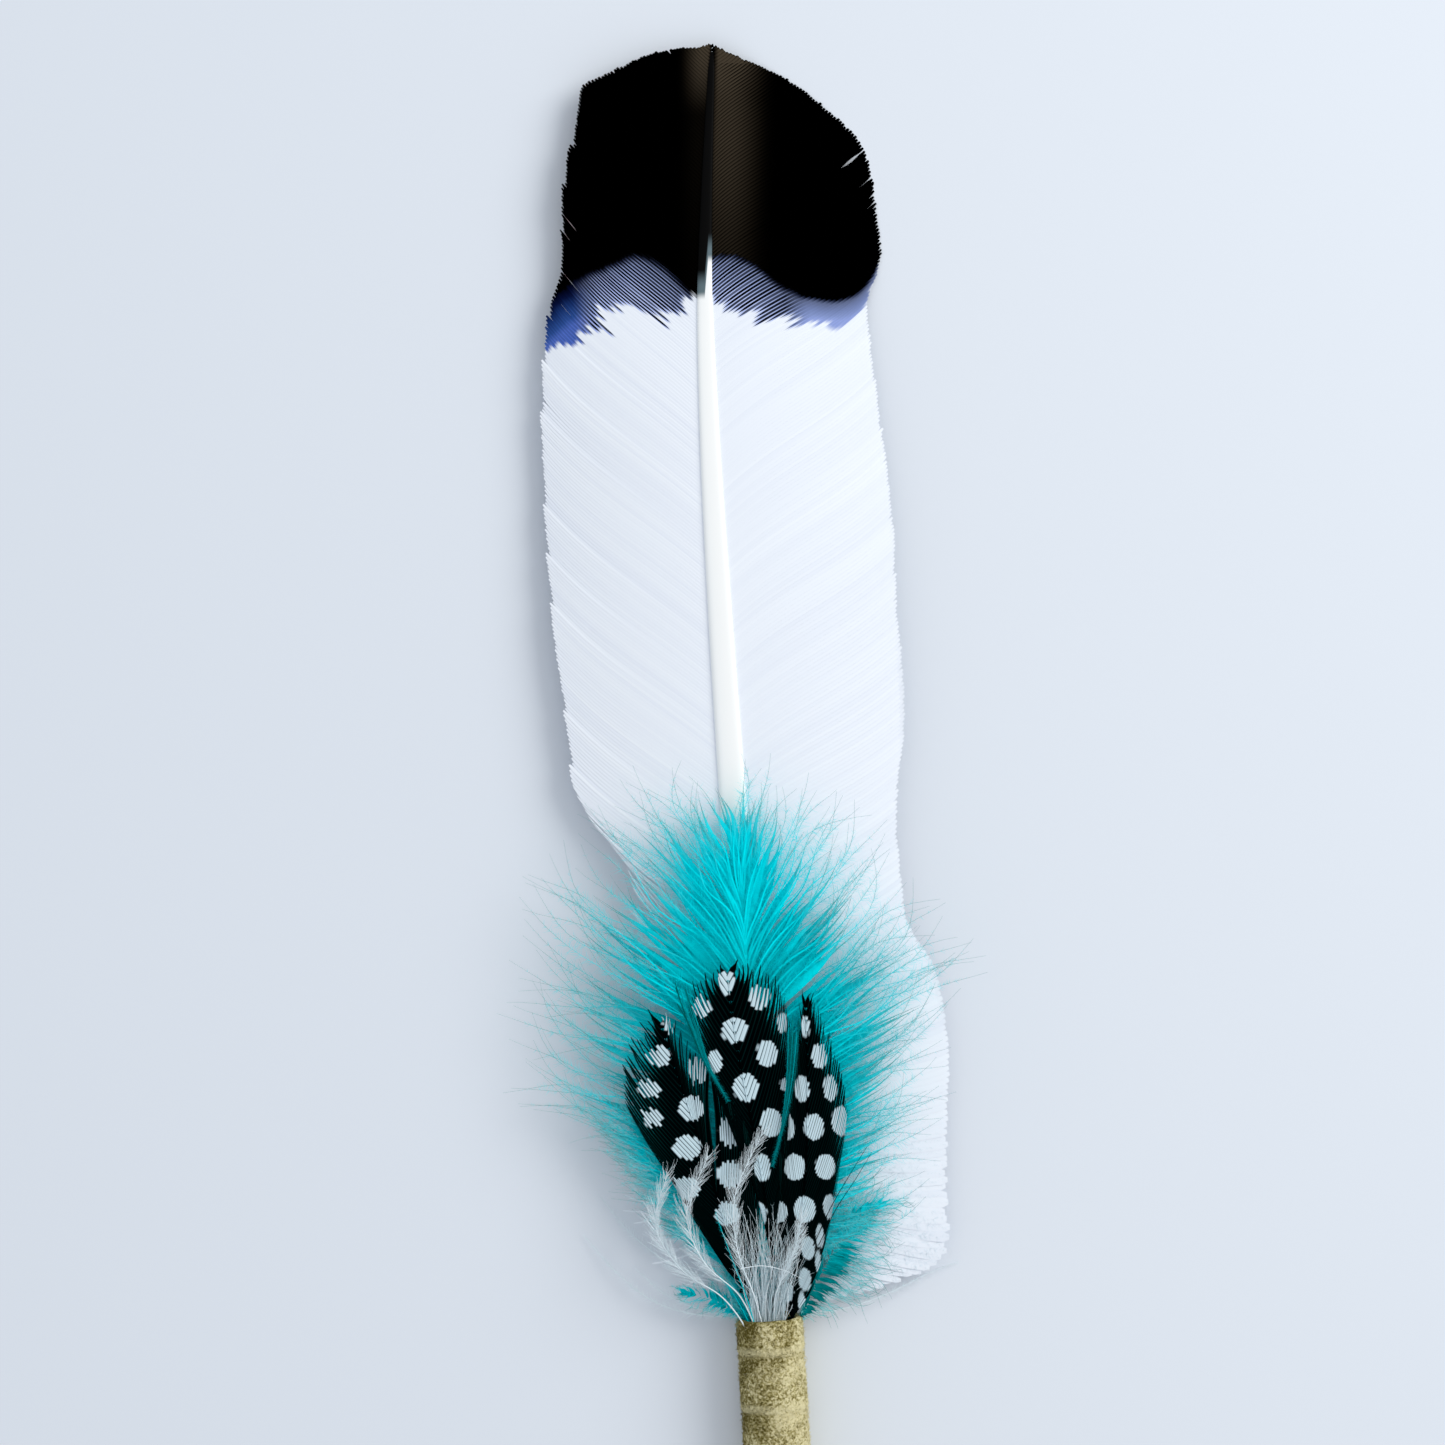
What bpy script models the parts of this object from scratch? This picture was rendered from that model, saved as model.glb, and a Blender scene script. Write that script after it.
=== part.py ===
"""Smudging feather, lying on a surface and seen from above with its tip towards +Y.

A large white wing feather with a dyed tip carries a turquoise marabou plume with two side
tufts, three spotted guinea fowl feathers and four white down plumes. All their quills run
into a handle wound from one suede strip. Units are metres, +Z is up, and the origin is the
middle of the flat that the handle rests on.
"""

import math

import bmesh
import bpy
import numpy as np
from mathutils import Vector

MM = 0.001
SHARP_ANGLE = math.radians(40)
MERGE_DISTANCE = 1e-6

# Handle: one suede strip wound round the quills.
HANDLE_LENGTH = 80 * MM
HANDLE_RADIUS = 6.0 * MM
HANDLE_CENTRE_Z = 5.8 * MM
STRIP_PITCH = 10.6 * MM
STRIP_STEP = 0.35 * MM
STRIP_STEPS_PER_TURN = 20
STRIP_LAP = ((0, 0), (0.06, 1), (0.5, 0.8), (1, 0))
END_ROUNDING = 1.5 * MM
END_STEPS = 3
BORE_RADIUS = 5.0 * MM
BORE_DEPTH = 74 * MM
MOUTH_Y = HANDLE_LENGTH / 2

# Quills: a radius at the base and one at the tip, and how far each kind runs into the handle.
MAIN_QUILL = (2.75 * MM, 0.5 * MM)
MAIN_QUILL_INSIDE = 70 * MM
SMALL_QUILL = (0.45 * MM, 0.27 * MM)
DOWN_QUILL = (0.35 * MM, 0.2 * MM)
SMALL_QUILL_INSIDE = 14 * MM
QUILL_TAPER = 2.4
QUILL_END = 0.96

# Height of a layer's middle over the main feather's middle: at the mouth, and clear of it.
MARABOU_LIFT = (3.55 * MM, 4.1 * MM)
TUFT_LIFT = (3.55 * MM, 1.9 * MM)
GUINEA_SIDE_LIFT = (4.75 * MM, 5.9 * MM)
GUINEA_CENTRE_LIFT = (4.75 * MM, 7.1 * MM)
DOWN_LIFT = (5.85 * MM, 8.4 * MM)
SPREAD_LENGTH = 15 * MM
TUFT_SPREAD_LENGTH = 5 * MM

# Arch of the main feather, as millimetres from the mouth and millimetres up.
SHAFT_HEIGHTS = ((-80, 3.9), (0, 3.9), (60, 6.0), (120, 8.0), (180, 7.0), (215, 4.8), (242, 3.0))
EDGE_HEIGHTS = ((0, 3.1), (40, 2.8), (100, 3.9), (150, 3.2), (185, 1.3), (200, 0.3), (242, 0.3))

# How far across a vane its lengthwise lines run, and the share of a lock that its step takes.
WIDE_VANE = (-1.0, -0.72, -0.36, 0.0, 0.36, 0.72, 1.0)
NARROW_VANE = (-1.0, -0.55, 0.0, 0.55, 1.0)
LOCK_GAP = 0.06

# Shafts and edges in plan, in millimetres from the middle of the mouth, base to tip.
MAIN_LINES = (
    ((-0.1, 8), (-0.6, 52), (-1.3, 106), (-1.6, 136), (-1.5, 174), (-0.9, 195), (0.4, 212), (3.2, 241.5)),
    (
        (-5, 4), (-21, 7), (-31, 19), (-33.5, 44), (-31, 80), (-31.5, 106), (-33.2, 130), (-33.7, 158),
        (-32.3, 184), (-28.7, 201), (-25.6, 218), (-21.6, 235), (-14, 239.3), (-5.2, 241.5), (2.4, 241.7),
    ),
    (
        (5, 3), (20, 3.5), (32, 10), (35, 26), (37, 50), (32, 76), (31.4, 104), (32.2, 140), (31.4, 178),
        (31.2, 192), (33.2, 202), (31.6, 217), (25, 228.5), (12.5, 238.6), (4, 241.6),
    ),
)
SIDE_STARTS = 8
MARABOU_LINES = (
    ((0, 10), (-0.5, 45), (-0.5, 75), (-0.5, 104)),
    ((-2, 10), (-15, 24), (-28, 37), (-43, 46), (-45, 64), (-38, 84), (-27, 99), (-12, 105.5), (-1.5, 106.6)),
    ((2, 10), (16, 21), (27, 31), (35, 45), (41.5, 66), (31, 82), (24, 94), (11, 104), (0.5, 106.6)),
)
TUFT_RIGHT_LINES = (
    ((7.5, 4), (13, 13), (19, 20), (28, 23)),
    ((7.1, 4.3), (12, 15), (17.5, 23.5), (27.5, 23.8)),
    ((8.3, 3.4), (17.5, 6.5), (24, 14), (29, 22.4)),
)
TUFT_LEFT_LINES = (
    ((-7, 4), (-10.5, 7.5), (-13.5, 9), (-17.2, 9)),
    ((-7.4, 3.3), (-12, 3.4), (-17, 5.4), (-18, 8.6)),
    ((-6.8, 4.7), (-9.5, 12.5), (-12.3, 14), (-16.6, 9.6)),
)
GUINEA_LEFT_LINES = (
    ((-4.2, 6), (-7.5, 20), (-12, 38), (-17.4, 58)),
    ((-5.3, 6), (-16, 21), (-22.6, 33), (-27, 43), (-24, 51.5), (-18.6, 58.8)),
    ((-2, 6), (-0.8, 20), (-0.8, 31), (-2.6, 38.8), (-7, 45.3), (-13.7, 55), (-16.6, 59.4)),
)
GUINEA_CENTRE_LINES = (
    ((1.2, 12), (0.2, 27), (-1.9, 43), (-3.4, 55), (-4.2, 66.6)),
    ((0.4, 12), (-0.9, 31), (-2.8, 38.8), (-9.2, 51), (-11.4, 62.5), (-5.2, 67)),
    ((2, 12), (2.7, 27), (6, 42), (6.9, 56), (4.4, 64.5), (-2.9, 67.4)),
)
GUINEA_RIGHT_LINES = (
    ((4.8, 6), (6.5, 15), (8.6, 30), (9.7, 45), (10.2, 60.6)),
    ((3.6, 6), (2.3, 12), (2.1, 22), (5.4, 41), (7.4, 49), (9.8, 61.2)),
    ((5.9, 6), (10.9, 14), (14.8, 28), (16.8, 40), (14.6, 51.5), (10.9, 61.2)),
)
DOWN_SHAFTS = {
    "white_down_far_left": ((-8.5, 5), (-15.5, 10.5), (-20.3, 19.5), (-17.4, 29.6)),
    "white_down_left": ((-5.2, 5), (-11.5, 12), (-14.4, 21), (-9.7, 32.2)),
    "white_down_centre": ((-2.6, 5), (-5, 13), (-5.4, 23), (0.8, 36.2)),
    "white_down_right": ((1.4, 5), (3.2, 9), (5.6, 14), (7.4, 20)),
}
DOWN_HALF_WIDTH = 1.6
DOWN_TIP_WIDTH = 0.5
NEARBY = 0.02

# Where each quill sits across the bore, in millimetres.
SEATS = {
    "main_feather": 0,
    "marabou_left": -2.9,
    "marabou_centre": 0,
    "marabou_right": 2.9,
    "guinea_left": -2.6,
    "guinea_centre": 0,
    "guinea_right": 2.6,
    "white_down_far_left": -1.5,
    "white_down_left": -0.5,
    "white_down_centre": 0.5,
    "white_down_right": 1.5,
}


def smooth(position, knots, values):
    """The smooth curve through the values at the knots, read at a position and held at its ends."""
    knots = np.asarray(knots, float)
    values = np.asarray(values, float)
    slopes = np.gradient(values, knots, axis=0)
    first = int(np.clip(np.searchsorted(knots, position) - 1, 0, len(knots) - 2))
    gap = knots[first + 1] - knots[first]
    s = float(np.clip((position - knots[first]) / gap, 0, 1))
    ends = (2 * s**3 - 3 * s**2 + 1) * values[first] + (3 * s**2 - 2 * s**3) * values[first + 1]
    return ends + gap * ((s**3 - 2 * s**2 + s) * slopes[first] + (s**3 - s**2) * slopes[first + 1])


def height(stations, y):
    """Height in metres at y, from stations in millimetres along and up."""
    along, up = zip(*stations)
    return float(smooth((y - MOUTH_Y) / MM, along, up)) * MM


def layer(lift, length):
    """A layer's height over the main feather as a function of y. It changes as the quill leaves the mouth."""

    def at(y):
        share = min(max((y - MOUTH_Y) / length, 0), 1)
        return lift[0] + (lift[1] - lift[0]) * share**2 * (3 - 2 * share)

    return at


class Route:
    """A smooth line in plan through points given in millimetres from the mouth."""

    def __init__(self, points):
        self.points = np.array(points, float) * MM + (0, MOUTH_Y)
        steps = np.linalg.norm(np.diff(self.points, axis=0), axis=1)
        self.reach = np.concatenate([[0], np.cumsum(steps)])

    def at(self, share):
        return smooth(share * self.reach[-1], self.reach, self.points)

    def beside(self, offset):
        """Points of a line that bulges to one side of this one, in millimetres from the mouth."""
        made = []
        for share in np.linspace(0, 1, 5):
            ahead = self.at(min(share + NEARBY, 1)) - self.at(max(share - NEARBY, 0))
            side = np.array((ahead[1], -ahead[0])) / np.linalg.norm(ahead)
            bulge = offset * (DOWN_TIP_WIDTH + (1 - DOWN_TIP_WIDTH) * math.sin(math.pi * share))
            made.append((self.at(share) - (0, MOUTH_Y)) / MM + side * bulge)
        return made


def half_width(y, right):
    """The main feather's width from its middle to one edge, without its locks."""
    edge = [point for point in MAIN_LINES[2 if right else 1] if abs(point[0]) > SIDE_STARTS]
    across, along = zip(*edge)
    return abs(float(smooth((y - MOUTH_Y) / MM, along, across))) * MM


def surface(x, y):
    """Height of the main feather's middle layer, which arches along and droops to both sides."""
    middle = height(SHAFT_HEIGHTS, y)
    droop = middle - height(EDGE_HEIGHTS, y)
    return middle - droop * (x / half_width(y, x > 0)) ** 2


def material(name, colour, roughness):
    """A plain surface of one colour."""
    made = bpy.data.materials.new(name)
    made.use_nodes = True
    shader = made.node_tree.nodes["Principled BSDF"]
    shader.inputs["Base Color"].default_value = (*colour, 1)
    shader.inputs["Roughness"].default_value = roughness
    return made


def finished(name, mesh, finish):
    """The scene object of a bmesh, shaded smooth apart from its sharp edges."""
    data = bpy.data.meshes.new(name)
    mesh.to_mesh(data)
    mesh.free()
    data.materials.append(finish)
    data.shade_smooth()
    data.set_sharp_from_angle(angle=SHARP_ANGLE)
    made = bpy.data.objects.new(name, data)
    bpy.context.scene.collection.objects.link(made)
    return made


def join(target, helper):
    """Makes a helper part of the target, and keeps the helper itself out of the model."""
    helper.hide_render = True
    helper.display_type = "WIRE"
    union = target.modifiers.new(helper.name, "BOOLEAN")
    union.operation = "UNION"
    union.object = helper


def quill(name, stations, sides_level, finish):
    """A round tapering tube through (x, y, z, radius) stations."""
    curve = bpy.data.curves.new(name, "CURVE")
    curve.dimensions = "3D"
    curve.bevel_depth = 1
    curve.bevel_resolution = sides_level
    curve.use_fill_caps = True
    line = curve.splines.new("POLY")
    line.points.add(len(stations) - 1)
    for point, (x, y, z, radius) in zip(line.points, stations):
        point.co = (x, y, z, 1)
        point.radius = radius
    source = bpy.data.objects.new(name + "_line", curve)
    mesh = bmesh.new()
    mesh.from_mesh(source.to_mesh())
    source.to_mesh_clear()
    bpy.data.objects.remove(source)
    bmesh.ops.remove_doubles(mesh, verts=mesh.verts, dist=MERGE_DISTANCE)
    bmesh.ops.recalc_face_normals(mesh, faces=mesh.faces)
    return finished(name, mesh, finish)


def vane(name, lines, across, locks, sweep, notch, lift, half, ridge, finish):
    """A closed sheet of barbs in locks, whose pointed ends step along both edges.

    lines are the shaft and the left and right edges. Each lock has a lower row, which stops
    short by the notch, and an upper one, which reaches the edge. A sweep under 1 leans the
    rows towards the tip.
    """
    shaft, left, right = (Route(line) for line in lines)
    mesh = bmesh.new()
    columns = len(across) - 1
    rows = 2 * locks - 1
    bmesh.ops.create_grid(mesh, x_segments=columns, y_segments=rows, size=0.5)
    for vertex in mesh.verts:
        side = across[round((vertex.co.x + 0.5) * columns)]
        lock, upper = divmod(round((vertex.co.y + 0.5) * rows), 2)
        share = (lock + (1 - LOCK_GAP if upper else LOCK_GAP)) / locks
        foot = shaft.at(share)
        rim = (right if side > 0 else left).at(share**sweep)
        x, y = foot + (rim - foot) * abs(side) * (1 if upper else 1 - notch)
        step = ridge * abs(side) * (1 if upper else -1)
        vertex.co = (x, y, max(surface(x, y) + lift(y) + step - half, 0))
    top = bmesh.ops.extrude_face_region(mesh, geom=mesh.faces[:])["geom"]
    raised = [part for part in top if isinstance(part, bmesh.types.BMVert)]
    bmesh.ops.translate(mesh, verts=raised, vec=(0, 0, 2 * half))
    bmesh.ops.recalc_face_normals(mesh, faces=mesh.faces)
    return finished(name, mesh, finish)


def feather(name, lines, radii, inside, lift, quill_stations, sides_level, **vane_sizes):
    """A vane and its quill in one piece. The quill runs from its seat in the handle."""
    made = vane(name, lines, lift=lift, **vane_sizes)
    seat = SEATS[name] * MM
    shaft = Route(lines[0])
    stations = [(seat, y, surface(0, y) + lift(y), radii[0]) for y in (MOUTH_Y - inside, MOUTH_Y)]
    for share in np.linspace(0, QUILL_END, quill_stations):
        x, y = shaft.at(share)
        radius = radii[0] + (radii[1] - radii[0]) * share**QUILL_TAPER
        stations.append((x, y, surface(x, y) + lift(y), radius))
    join(made, quill(name + "_quill", stations, sides_level, vane_sizes["finish"]))


def main_feather(finish):
    """The large wing feather, which the others lie on."""
    feather(
        "main_feather", MAIN_LINES, MAIN_QUILL, MAIN_QUILL_INSIDE, lambda y: 0,
        quill_stations=18, sides_level=4, across=WIDE_VANE, locks=26, sweep=0.72, notch=0.05,
        half=0.3 * MM, ridge=0.2 * MM, finish=finish,
    )


def marabou(finish):
    """The turquoise plume and its two side tufts."""
    feather(
        "marabou_centre", MARABOU_LINES, SMALL_QUILL, SMALL_QUILL_INSIDE, layer(MARABOU_LIFT, SPREAD_LENGTH),
        quill_stations=6, sides_level=1, across=WIDE_VANE, locks=26, sweep=0.6, notch=0.26,
        half=0.8 * MM, ridge=0.2 * MM, finish=finish,
    )
    for name, lines in (("marabou_left", TUFT_LEFT_LINES), ("marabou_right", TUFT_RIGHT_LINES)):
        feather(
            name, lines, SMALL_QUILL, SMALL_QUILL_INSIDE, layer(TUFT_LIFT, TUFT_SPREAD_LENGTH),
            quill_stations=5, sides_level=1, across=NARROW_VANE, locks=9, sweep=0.75, notch=0.3,
            half=0.5 * MM, ridge=0.15 * MM, finish=finish,
        )


def guinea_feathers(finish):
    """Three spotted feathers: the middle one lies on the two at its sides."""
    for name, lines, lift in (
        ("guinea_left", GUINEA_LEFT_LINES, GUINEA_SIDE_LIFT),
        ("guinea_right", GUINEA_RIGHT_LINES, GUINEA_SIDE_LIFT),
        ("guinea_centre", GUINEA_CENTRE_LINES, GUINEA_CENTRE_LIFT),
    ):
        feather(
            name, lines, SMALL_QUILL, SMALL_QUILL_INSIDE, layer(lift, SPREAD_LENGTH),
            quill_stations=7, sides_level=1, across=NARROW_VANE, locks=12, sweep=0.75, notch=0.08,
            half=0.35 * MM, ridge=0.1 * MM, finish=finish,
        )


def white_down(finish):
    """Thin curling plumes, each as wide on both sides of its shaft."""
    for name, points in DOWN_SHAFTS.items():
        shaft = Route(points)
        feather(
            name, (points, shaft.beside(-DOWN_HALF_WIDTH), shaft.beside(DOWN_HALF_WIDTH)),
            DOWN_QUILL, SMALL_QUILL_INSIDE, layer(DOWN_LIFT, SPREAD_LENGTH),
            quill_stations=6, sides_level=1, across=NARROW_VANE, locks=7, sweep=0.85, notch=0.45,
            half=0.3 * MM, ridge=0.1 * MM, finish=finish,
        )


def cut_off(mesh, point, outward):
    """Cuts a mesh off beyond a plane, and gives the edges of the opening."""
    point, outward = Vector(point), Vector(outward)
    everything = mesh.verts[:] + mesh.edges[:] + mesh.faces[:]
    bmesh.ops.bisect_plane(mesh, geom=everything, plane_co=point, plane_no=outward, clear_outer=True)
    return [
        edge for edge in mesh.edges
        if edge.is_boundary and all(abs((v.co - point).dot(outward)) < MERGE_DISTANCE for v in edge.verts)
    ]


def wind_strip(mesh):
    """A strip wound along Y, longer than the handle, whose lap steps out once a turn."""
    start = -HANDLE_LENGTH / 2 - STRIP_PITCH
    turns = math.ceil(HANDLE_LENGTH / STRIP_PITCH) + 2
    profile = [
        mesh.verts.new((HANDLE_RADIUS + STRIP_STEP * out, start + STRIP_PITCH * along, 0))
        for along, out in STRIP_LAP
    ]
    edges = [mesh.edges.new(pair) for pair in zip(profile, profile[1:])]
    bmesh.ops.spin(
        mesh, geom=profile + edges, cent=(0, 0, 0), axis=(0, 1, 0),
        dvec=(0, STRIP_PITCH / STRIP_STEPS_PER_TURN, 0),
        angle=math.tau * turns, steps=STRIP_STEPS_PER_TURN * turns, use_merge=False,
    )
    bmesh.ops.remove_doubles(mesh, verts=mesh.verts, dist=10 * MERGE_DISTANCE)


def pushed(mesh, cap, along, radius_at):
    """Extrudes a cap along Y with its corners at new distances from the axis, and gives the new cap."""
    cap = bmesh.ops.extrude_discrete_faces(mesh, faces=[cap])["faces"][0]
    for corner in cap.verts:
        radius = math.hypot(corner.co.x, corner.co.z)
        scale = radius_at(radius) / radius
        corner.co = (corner.co.x * scale, corner.co.y + along, corner.co.z * scale)
    return cap


def suede_wrap(finish):
    """The wound strip: its mouth holds the quills, its far end is closed and its underside lies flat."""
    mesh = bmesh.new()
    wind_strip(mesh)
    far_end = cut_off(mesh, (0, END_ROUNDING - HANDLE_LENGTH / 2, 0), (0, -1, 0))
    cap = bmesh.ops.holes_fill(mesh, edges=far_end, sides=0)["faces"][0]
    angles = np.linspace(0, math.pi / 2, END_STEPS + 1)
    for before, after in zip(angles, angles[1:]):
        shrink = END_ROUNDING * (math.cos(before) - math.cos(after))
        along = END_ROUNDING * (math.sin(before) - math.sin(after))
        cap = pushed(mesh, cap, along, lambda radius: radius - shrink)
    mouth = cut_off(mesh, (0, MOUTH_Y, 0), (0, 1, 0))
    cap = bmesh.ops.holes_fill(mesh, edges=mouth, sides=0)["faces"][0]
    for along in (0, -BORE_DEPTH):
        cap = pushed(mesh, cap, along, lambda radius: BORE_RADIUS)
    bmesh.ops.translate(mesh, verts=mesh.verts, vec=(0, 0, HANDLE_CENTRE_Z))
    bmesh.ops.holes_fill(mesh, edges=cut_off(mesh, (0, 0, 0), (0, 0, -1)), sides=0)
    bmesh.ops.recalc_face_normals(mesh, faces=mesh.faces)
    finished("suede_wrap", mesh, finish)


def main():
    for leftover in list(bpy.data.objects):
        bpy.data.objects.remove(leftover)
    main_feather(material("white_feather", (0.86, 0.87, 0.90), 0.55))
    marabou(material("turquoise_marabou", (0.0, 0.40, 0.44), 0.7))
    guinea_feathers(material("guinea_feather", (0.02, 0.025, 0.025), 0.5))
    white_down(material("white_down", (0.80, 0.84, 0.88), 0.7))
    suede_wrap(material("tan_suede", (0.46, 0.38, 0.17), 0.95))


main()
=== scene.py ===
"""Smudging feather, dressed: a white wing feather with a dyed tip, turquoise marabou, spotted
guinea fowl feathers, white down and a suede handle, lying on a pale surface.

Lengths are millimetres from the middle of the handle's mouth, +Y towards the feather's tip and
+Z up from the surface, until placed() turns them into the frame's metres.
"""

import logging
import math
from dataclasses import dataclass, field
from enum import Enum

import bmesh
import bpy
import numpy as np
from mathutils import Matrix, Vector, noise


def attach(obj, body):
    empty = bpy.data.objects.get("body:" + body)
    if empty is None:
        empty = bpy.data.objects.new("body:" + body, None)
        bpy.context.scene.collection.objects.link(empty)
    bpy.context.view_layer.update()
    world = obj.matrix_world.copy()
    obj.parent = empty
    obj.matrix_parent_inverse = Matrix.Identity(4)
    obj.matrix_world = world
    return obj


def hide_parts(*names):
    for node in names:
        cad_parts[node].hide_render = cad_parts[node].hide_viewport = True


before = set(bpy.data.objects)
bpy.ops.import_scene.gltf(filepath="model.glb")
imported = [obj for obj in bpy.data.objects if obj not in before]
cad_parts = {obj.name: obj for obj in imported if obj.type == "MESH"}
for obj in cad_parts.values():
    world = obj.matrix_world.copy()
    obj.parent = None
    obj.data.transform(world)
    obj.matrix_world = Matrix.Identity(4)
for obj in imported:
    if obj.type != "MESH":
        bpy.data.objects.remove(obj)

LOG = logging.getLogger("smudging_feather")
Array = np.ndarray
Chance = np.random.Generator
Socket = bpy.types.NodeSocket
Points = tuple[tuple[float, float], ...]
Stops = tuple[tuple[float, str], ...]

MM = 0.001
MOUTH_Y = 40.0
# Nothing comes lower than this over the surface.
LOWEST = 0.02
# A length that counts as none.
TINY = 1e-9
UV_NAME = "OFBake"
UV_ROWS = 600
UV_MARGIN = 0.08
UV_END = 0.002
SEED = 11
STRAY_STATIONS = 26
# How far a path's turns at its two ends reach, as a share of its length.
BOW = 0.36
# The mark spot where there is no dot.
NO_SPOT = -9.0


class Side(Enum):
    """The two sides of a feather, seen from above with its tip away from the viewer."""

    LEFT = -1
    RIGHT = 1


def smooth(positions: Array, knots: Array, values: Array) -> Array:
    """Reads a smooth curve through values at knots, held at its ends.

    Args:
        positions: Where to read it, of any shape.
        knots: Rising positions of the values.
        values: A number or a point at each knot.

    Returns:
        The curve at each position.
    """
    knots = np.asarray(knots, float)
    values = np.asarray(values, float)
    slopes = np.gradient(values, knots, axis=0)
    positions = np.asarray(positions, float)
    first = np.clip(np.searchsorted(knots, positions) - 1, 0, len(knots) - 2)
    gap = knots[first + 1] - knots[first]
    s = np.clip((positions - knots[first]) / gap, 0, 1)
    if values.ndim > 1:
        s, gap = s[..., None], gap[..., None]
    ends = (2 * s**3 - 3 * s**2 + 1) * values[first] + (3 * s**2 - 2 * s**3) * values[first + 1]
    bends = (s**3 - 2 * s**2 + s) * slopes[first] + (s**3 - s**2) * slopes[first + 1]
    return ends + gap * bends


def ease(values: Array, low: float, high: float) -> Array:
    """A soft step from 0 at low to 1 at high."""
    s = np.clip((np.asarray(values, float) - low) / (high - low), 0, 1)
    return s * s * (3 - 2 * s)


def wander(chance: Chance, count: int, stations: int, bends: int = 4) -> Array:
    """Smooth random lines from -1 to 1 that start at 0.

    Args:
        chance: Source of the random draws.
        count: Number of lines.
        stations: Points on each line.
        bends: How many random values each line passes through.

    Returns:
        An array of count by stations.
    """
    values = chance.uniform(-1, 1, (bends + 1, count))
    values[0] = 0
    return smooth(np.linspace(0, 1, stations), np.linspace(0, 1, bends + 1), values).T


def unit(vectors: Array) -> Array:
    """Vectors of the same direction, one long."""
    return vectors / np.maximum(np.linalg.norm(vectors, axis=-1, keepdims=True), TINY)


def rotated(vectors: Array, angles: Array) -> Array:
    """Level vectors turned by angles in radians, to the left where these are above 0."""
    x, y, cos, sin = vectors[..., 0], vectors[..., 1], np.cos(angles), np.sin(angles)
    return np.stack([x * cos - y * sin, x * sin + y * cos], axis=-1)


def raised(plans: Array, z: Array) -> Array:
    """Points in plan with their heights."""
    return np.concatenate([plans, z[..., None]], axis=-1)


def placed(points: Array) -> Array:
    """Points in the frame's metres, from millimetres about the mouth."""
    return (points + (0, MOUTH_Y, 0)) * MM


class Line:
    """A smooth line in plan through points in millimetres from the mouth."""

    def __init__(self, points: Points) -> None:
        """Measures the line."""
        self.points = np.array(points, float)
        steps = np.linalg.norm(np.diff(self.points, axis=0), axis=1)
        self.reach = np.concatenate([[0], np.cumsum(steps)])

    def at(self, share: Array) -> Array:
        """Points at shares of the line's length."""
        return smooth(np.asarray(share) * self.reach[-1], self.reach, self.points)


@dataclass(frozen=True)
class Arch:
    """Height of the main feather's middle over the surface it lies on, as the CAD has it."""

    shaft: Points = ((-80, 3.9), (0, 3.9), (60, 6.0), (120, 8.0), (180, 7.0), (215, 4.8), (242, 3.0))
    edge: Points = (
        (0, 3.1), (40, 2.8), (100, 3.9), (150, 3.2), (185, 1.3), (200, 0.3), (242, 0.3),
    )
    # How much higher the left edge curls up beside the tip, where it casts a shadow.
    curl: Points = ((0, 0), (60, 0.6), (120, 1.2), (165, 1.4), (190, 3.2), (215, 5), (242, 4.5))
    left: Points = (
        (7, 21), (19, 31), (44, 33.5), (80, 31), (106, 31.5), (130, 33.2), (158, 33.7), (184, 32.3),
        (201, 28.7), (218, 25.6), (235, 21.6), (239.3, 14),
    )
    right: Points = (
        (3.5, 20), (10, 32), (26, 35), (50, 37), (76, 32), (104, 31.4), (140, 32.2), (178, 31.4),
        (192, 31.2), (202, 33.2), (217, 31.6), (228.5, 25), (238.6, 12.5),
    )

    def height(self, x: Array, y: Array) -> Array:
        """Height at points in plan, which droops from the shaft to both edges."""
        middle = smooth(y, *zip(*self.shaft))
        droop = middle - smooth(y, *zip(*self.edge)) - np.where(x < 0, smooth(y, *zip(*self.curl)), 0)
        half = np.where(x > 0, smooth(y, *zip(*self.right)), smooth(y, *zip(*self.left)))
        return middle - droop * np.minimum((x / half) ** 2, 1)


ARCH = Arch()


@dataclass(frozen=True)
class Layer:
    """Height of a layer over the main feather's middle: at the mouth, and clear of it."""

    at_mouth: float
    clear: float
    spread: float = 15.0

    def over(self, plans: Array) -> Array:
        """Height of the layer's middle over the surface, at points in plan."""
        x, y = plans[..., 0], plans[..., 1]
        lift = self.at_mouth + (self.clear - self.at_mouth) * ease(y, 0, self.spread)
        return ARCH.height(x, y) + lift


def linear(hex_colour: str) -> tuple[float, float, float, float]:
    """A linear colour with alpha, from an sRGB hex value such as "#c5dbe4"."""
    parts = [int(hex_colour[i:i + 2], 16) / 255 for i in (1, 3, 5)]
    made = [part / 12.92 if part <= 0.04045 else ((part + 0.055) / 1.055) ** 2.4 for part in parts]
    return (*made, 1.0)


class Course(Enum):
    """How a mapped value runs between its two ends."""

    SOFT = "SMOOTHSTEP"
    EVEN = "LINEAR"


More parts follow.
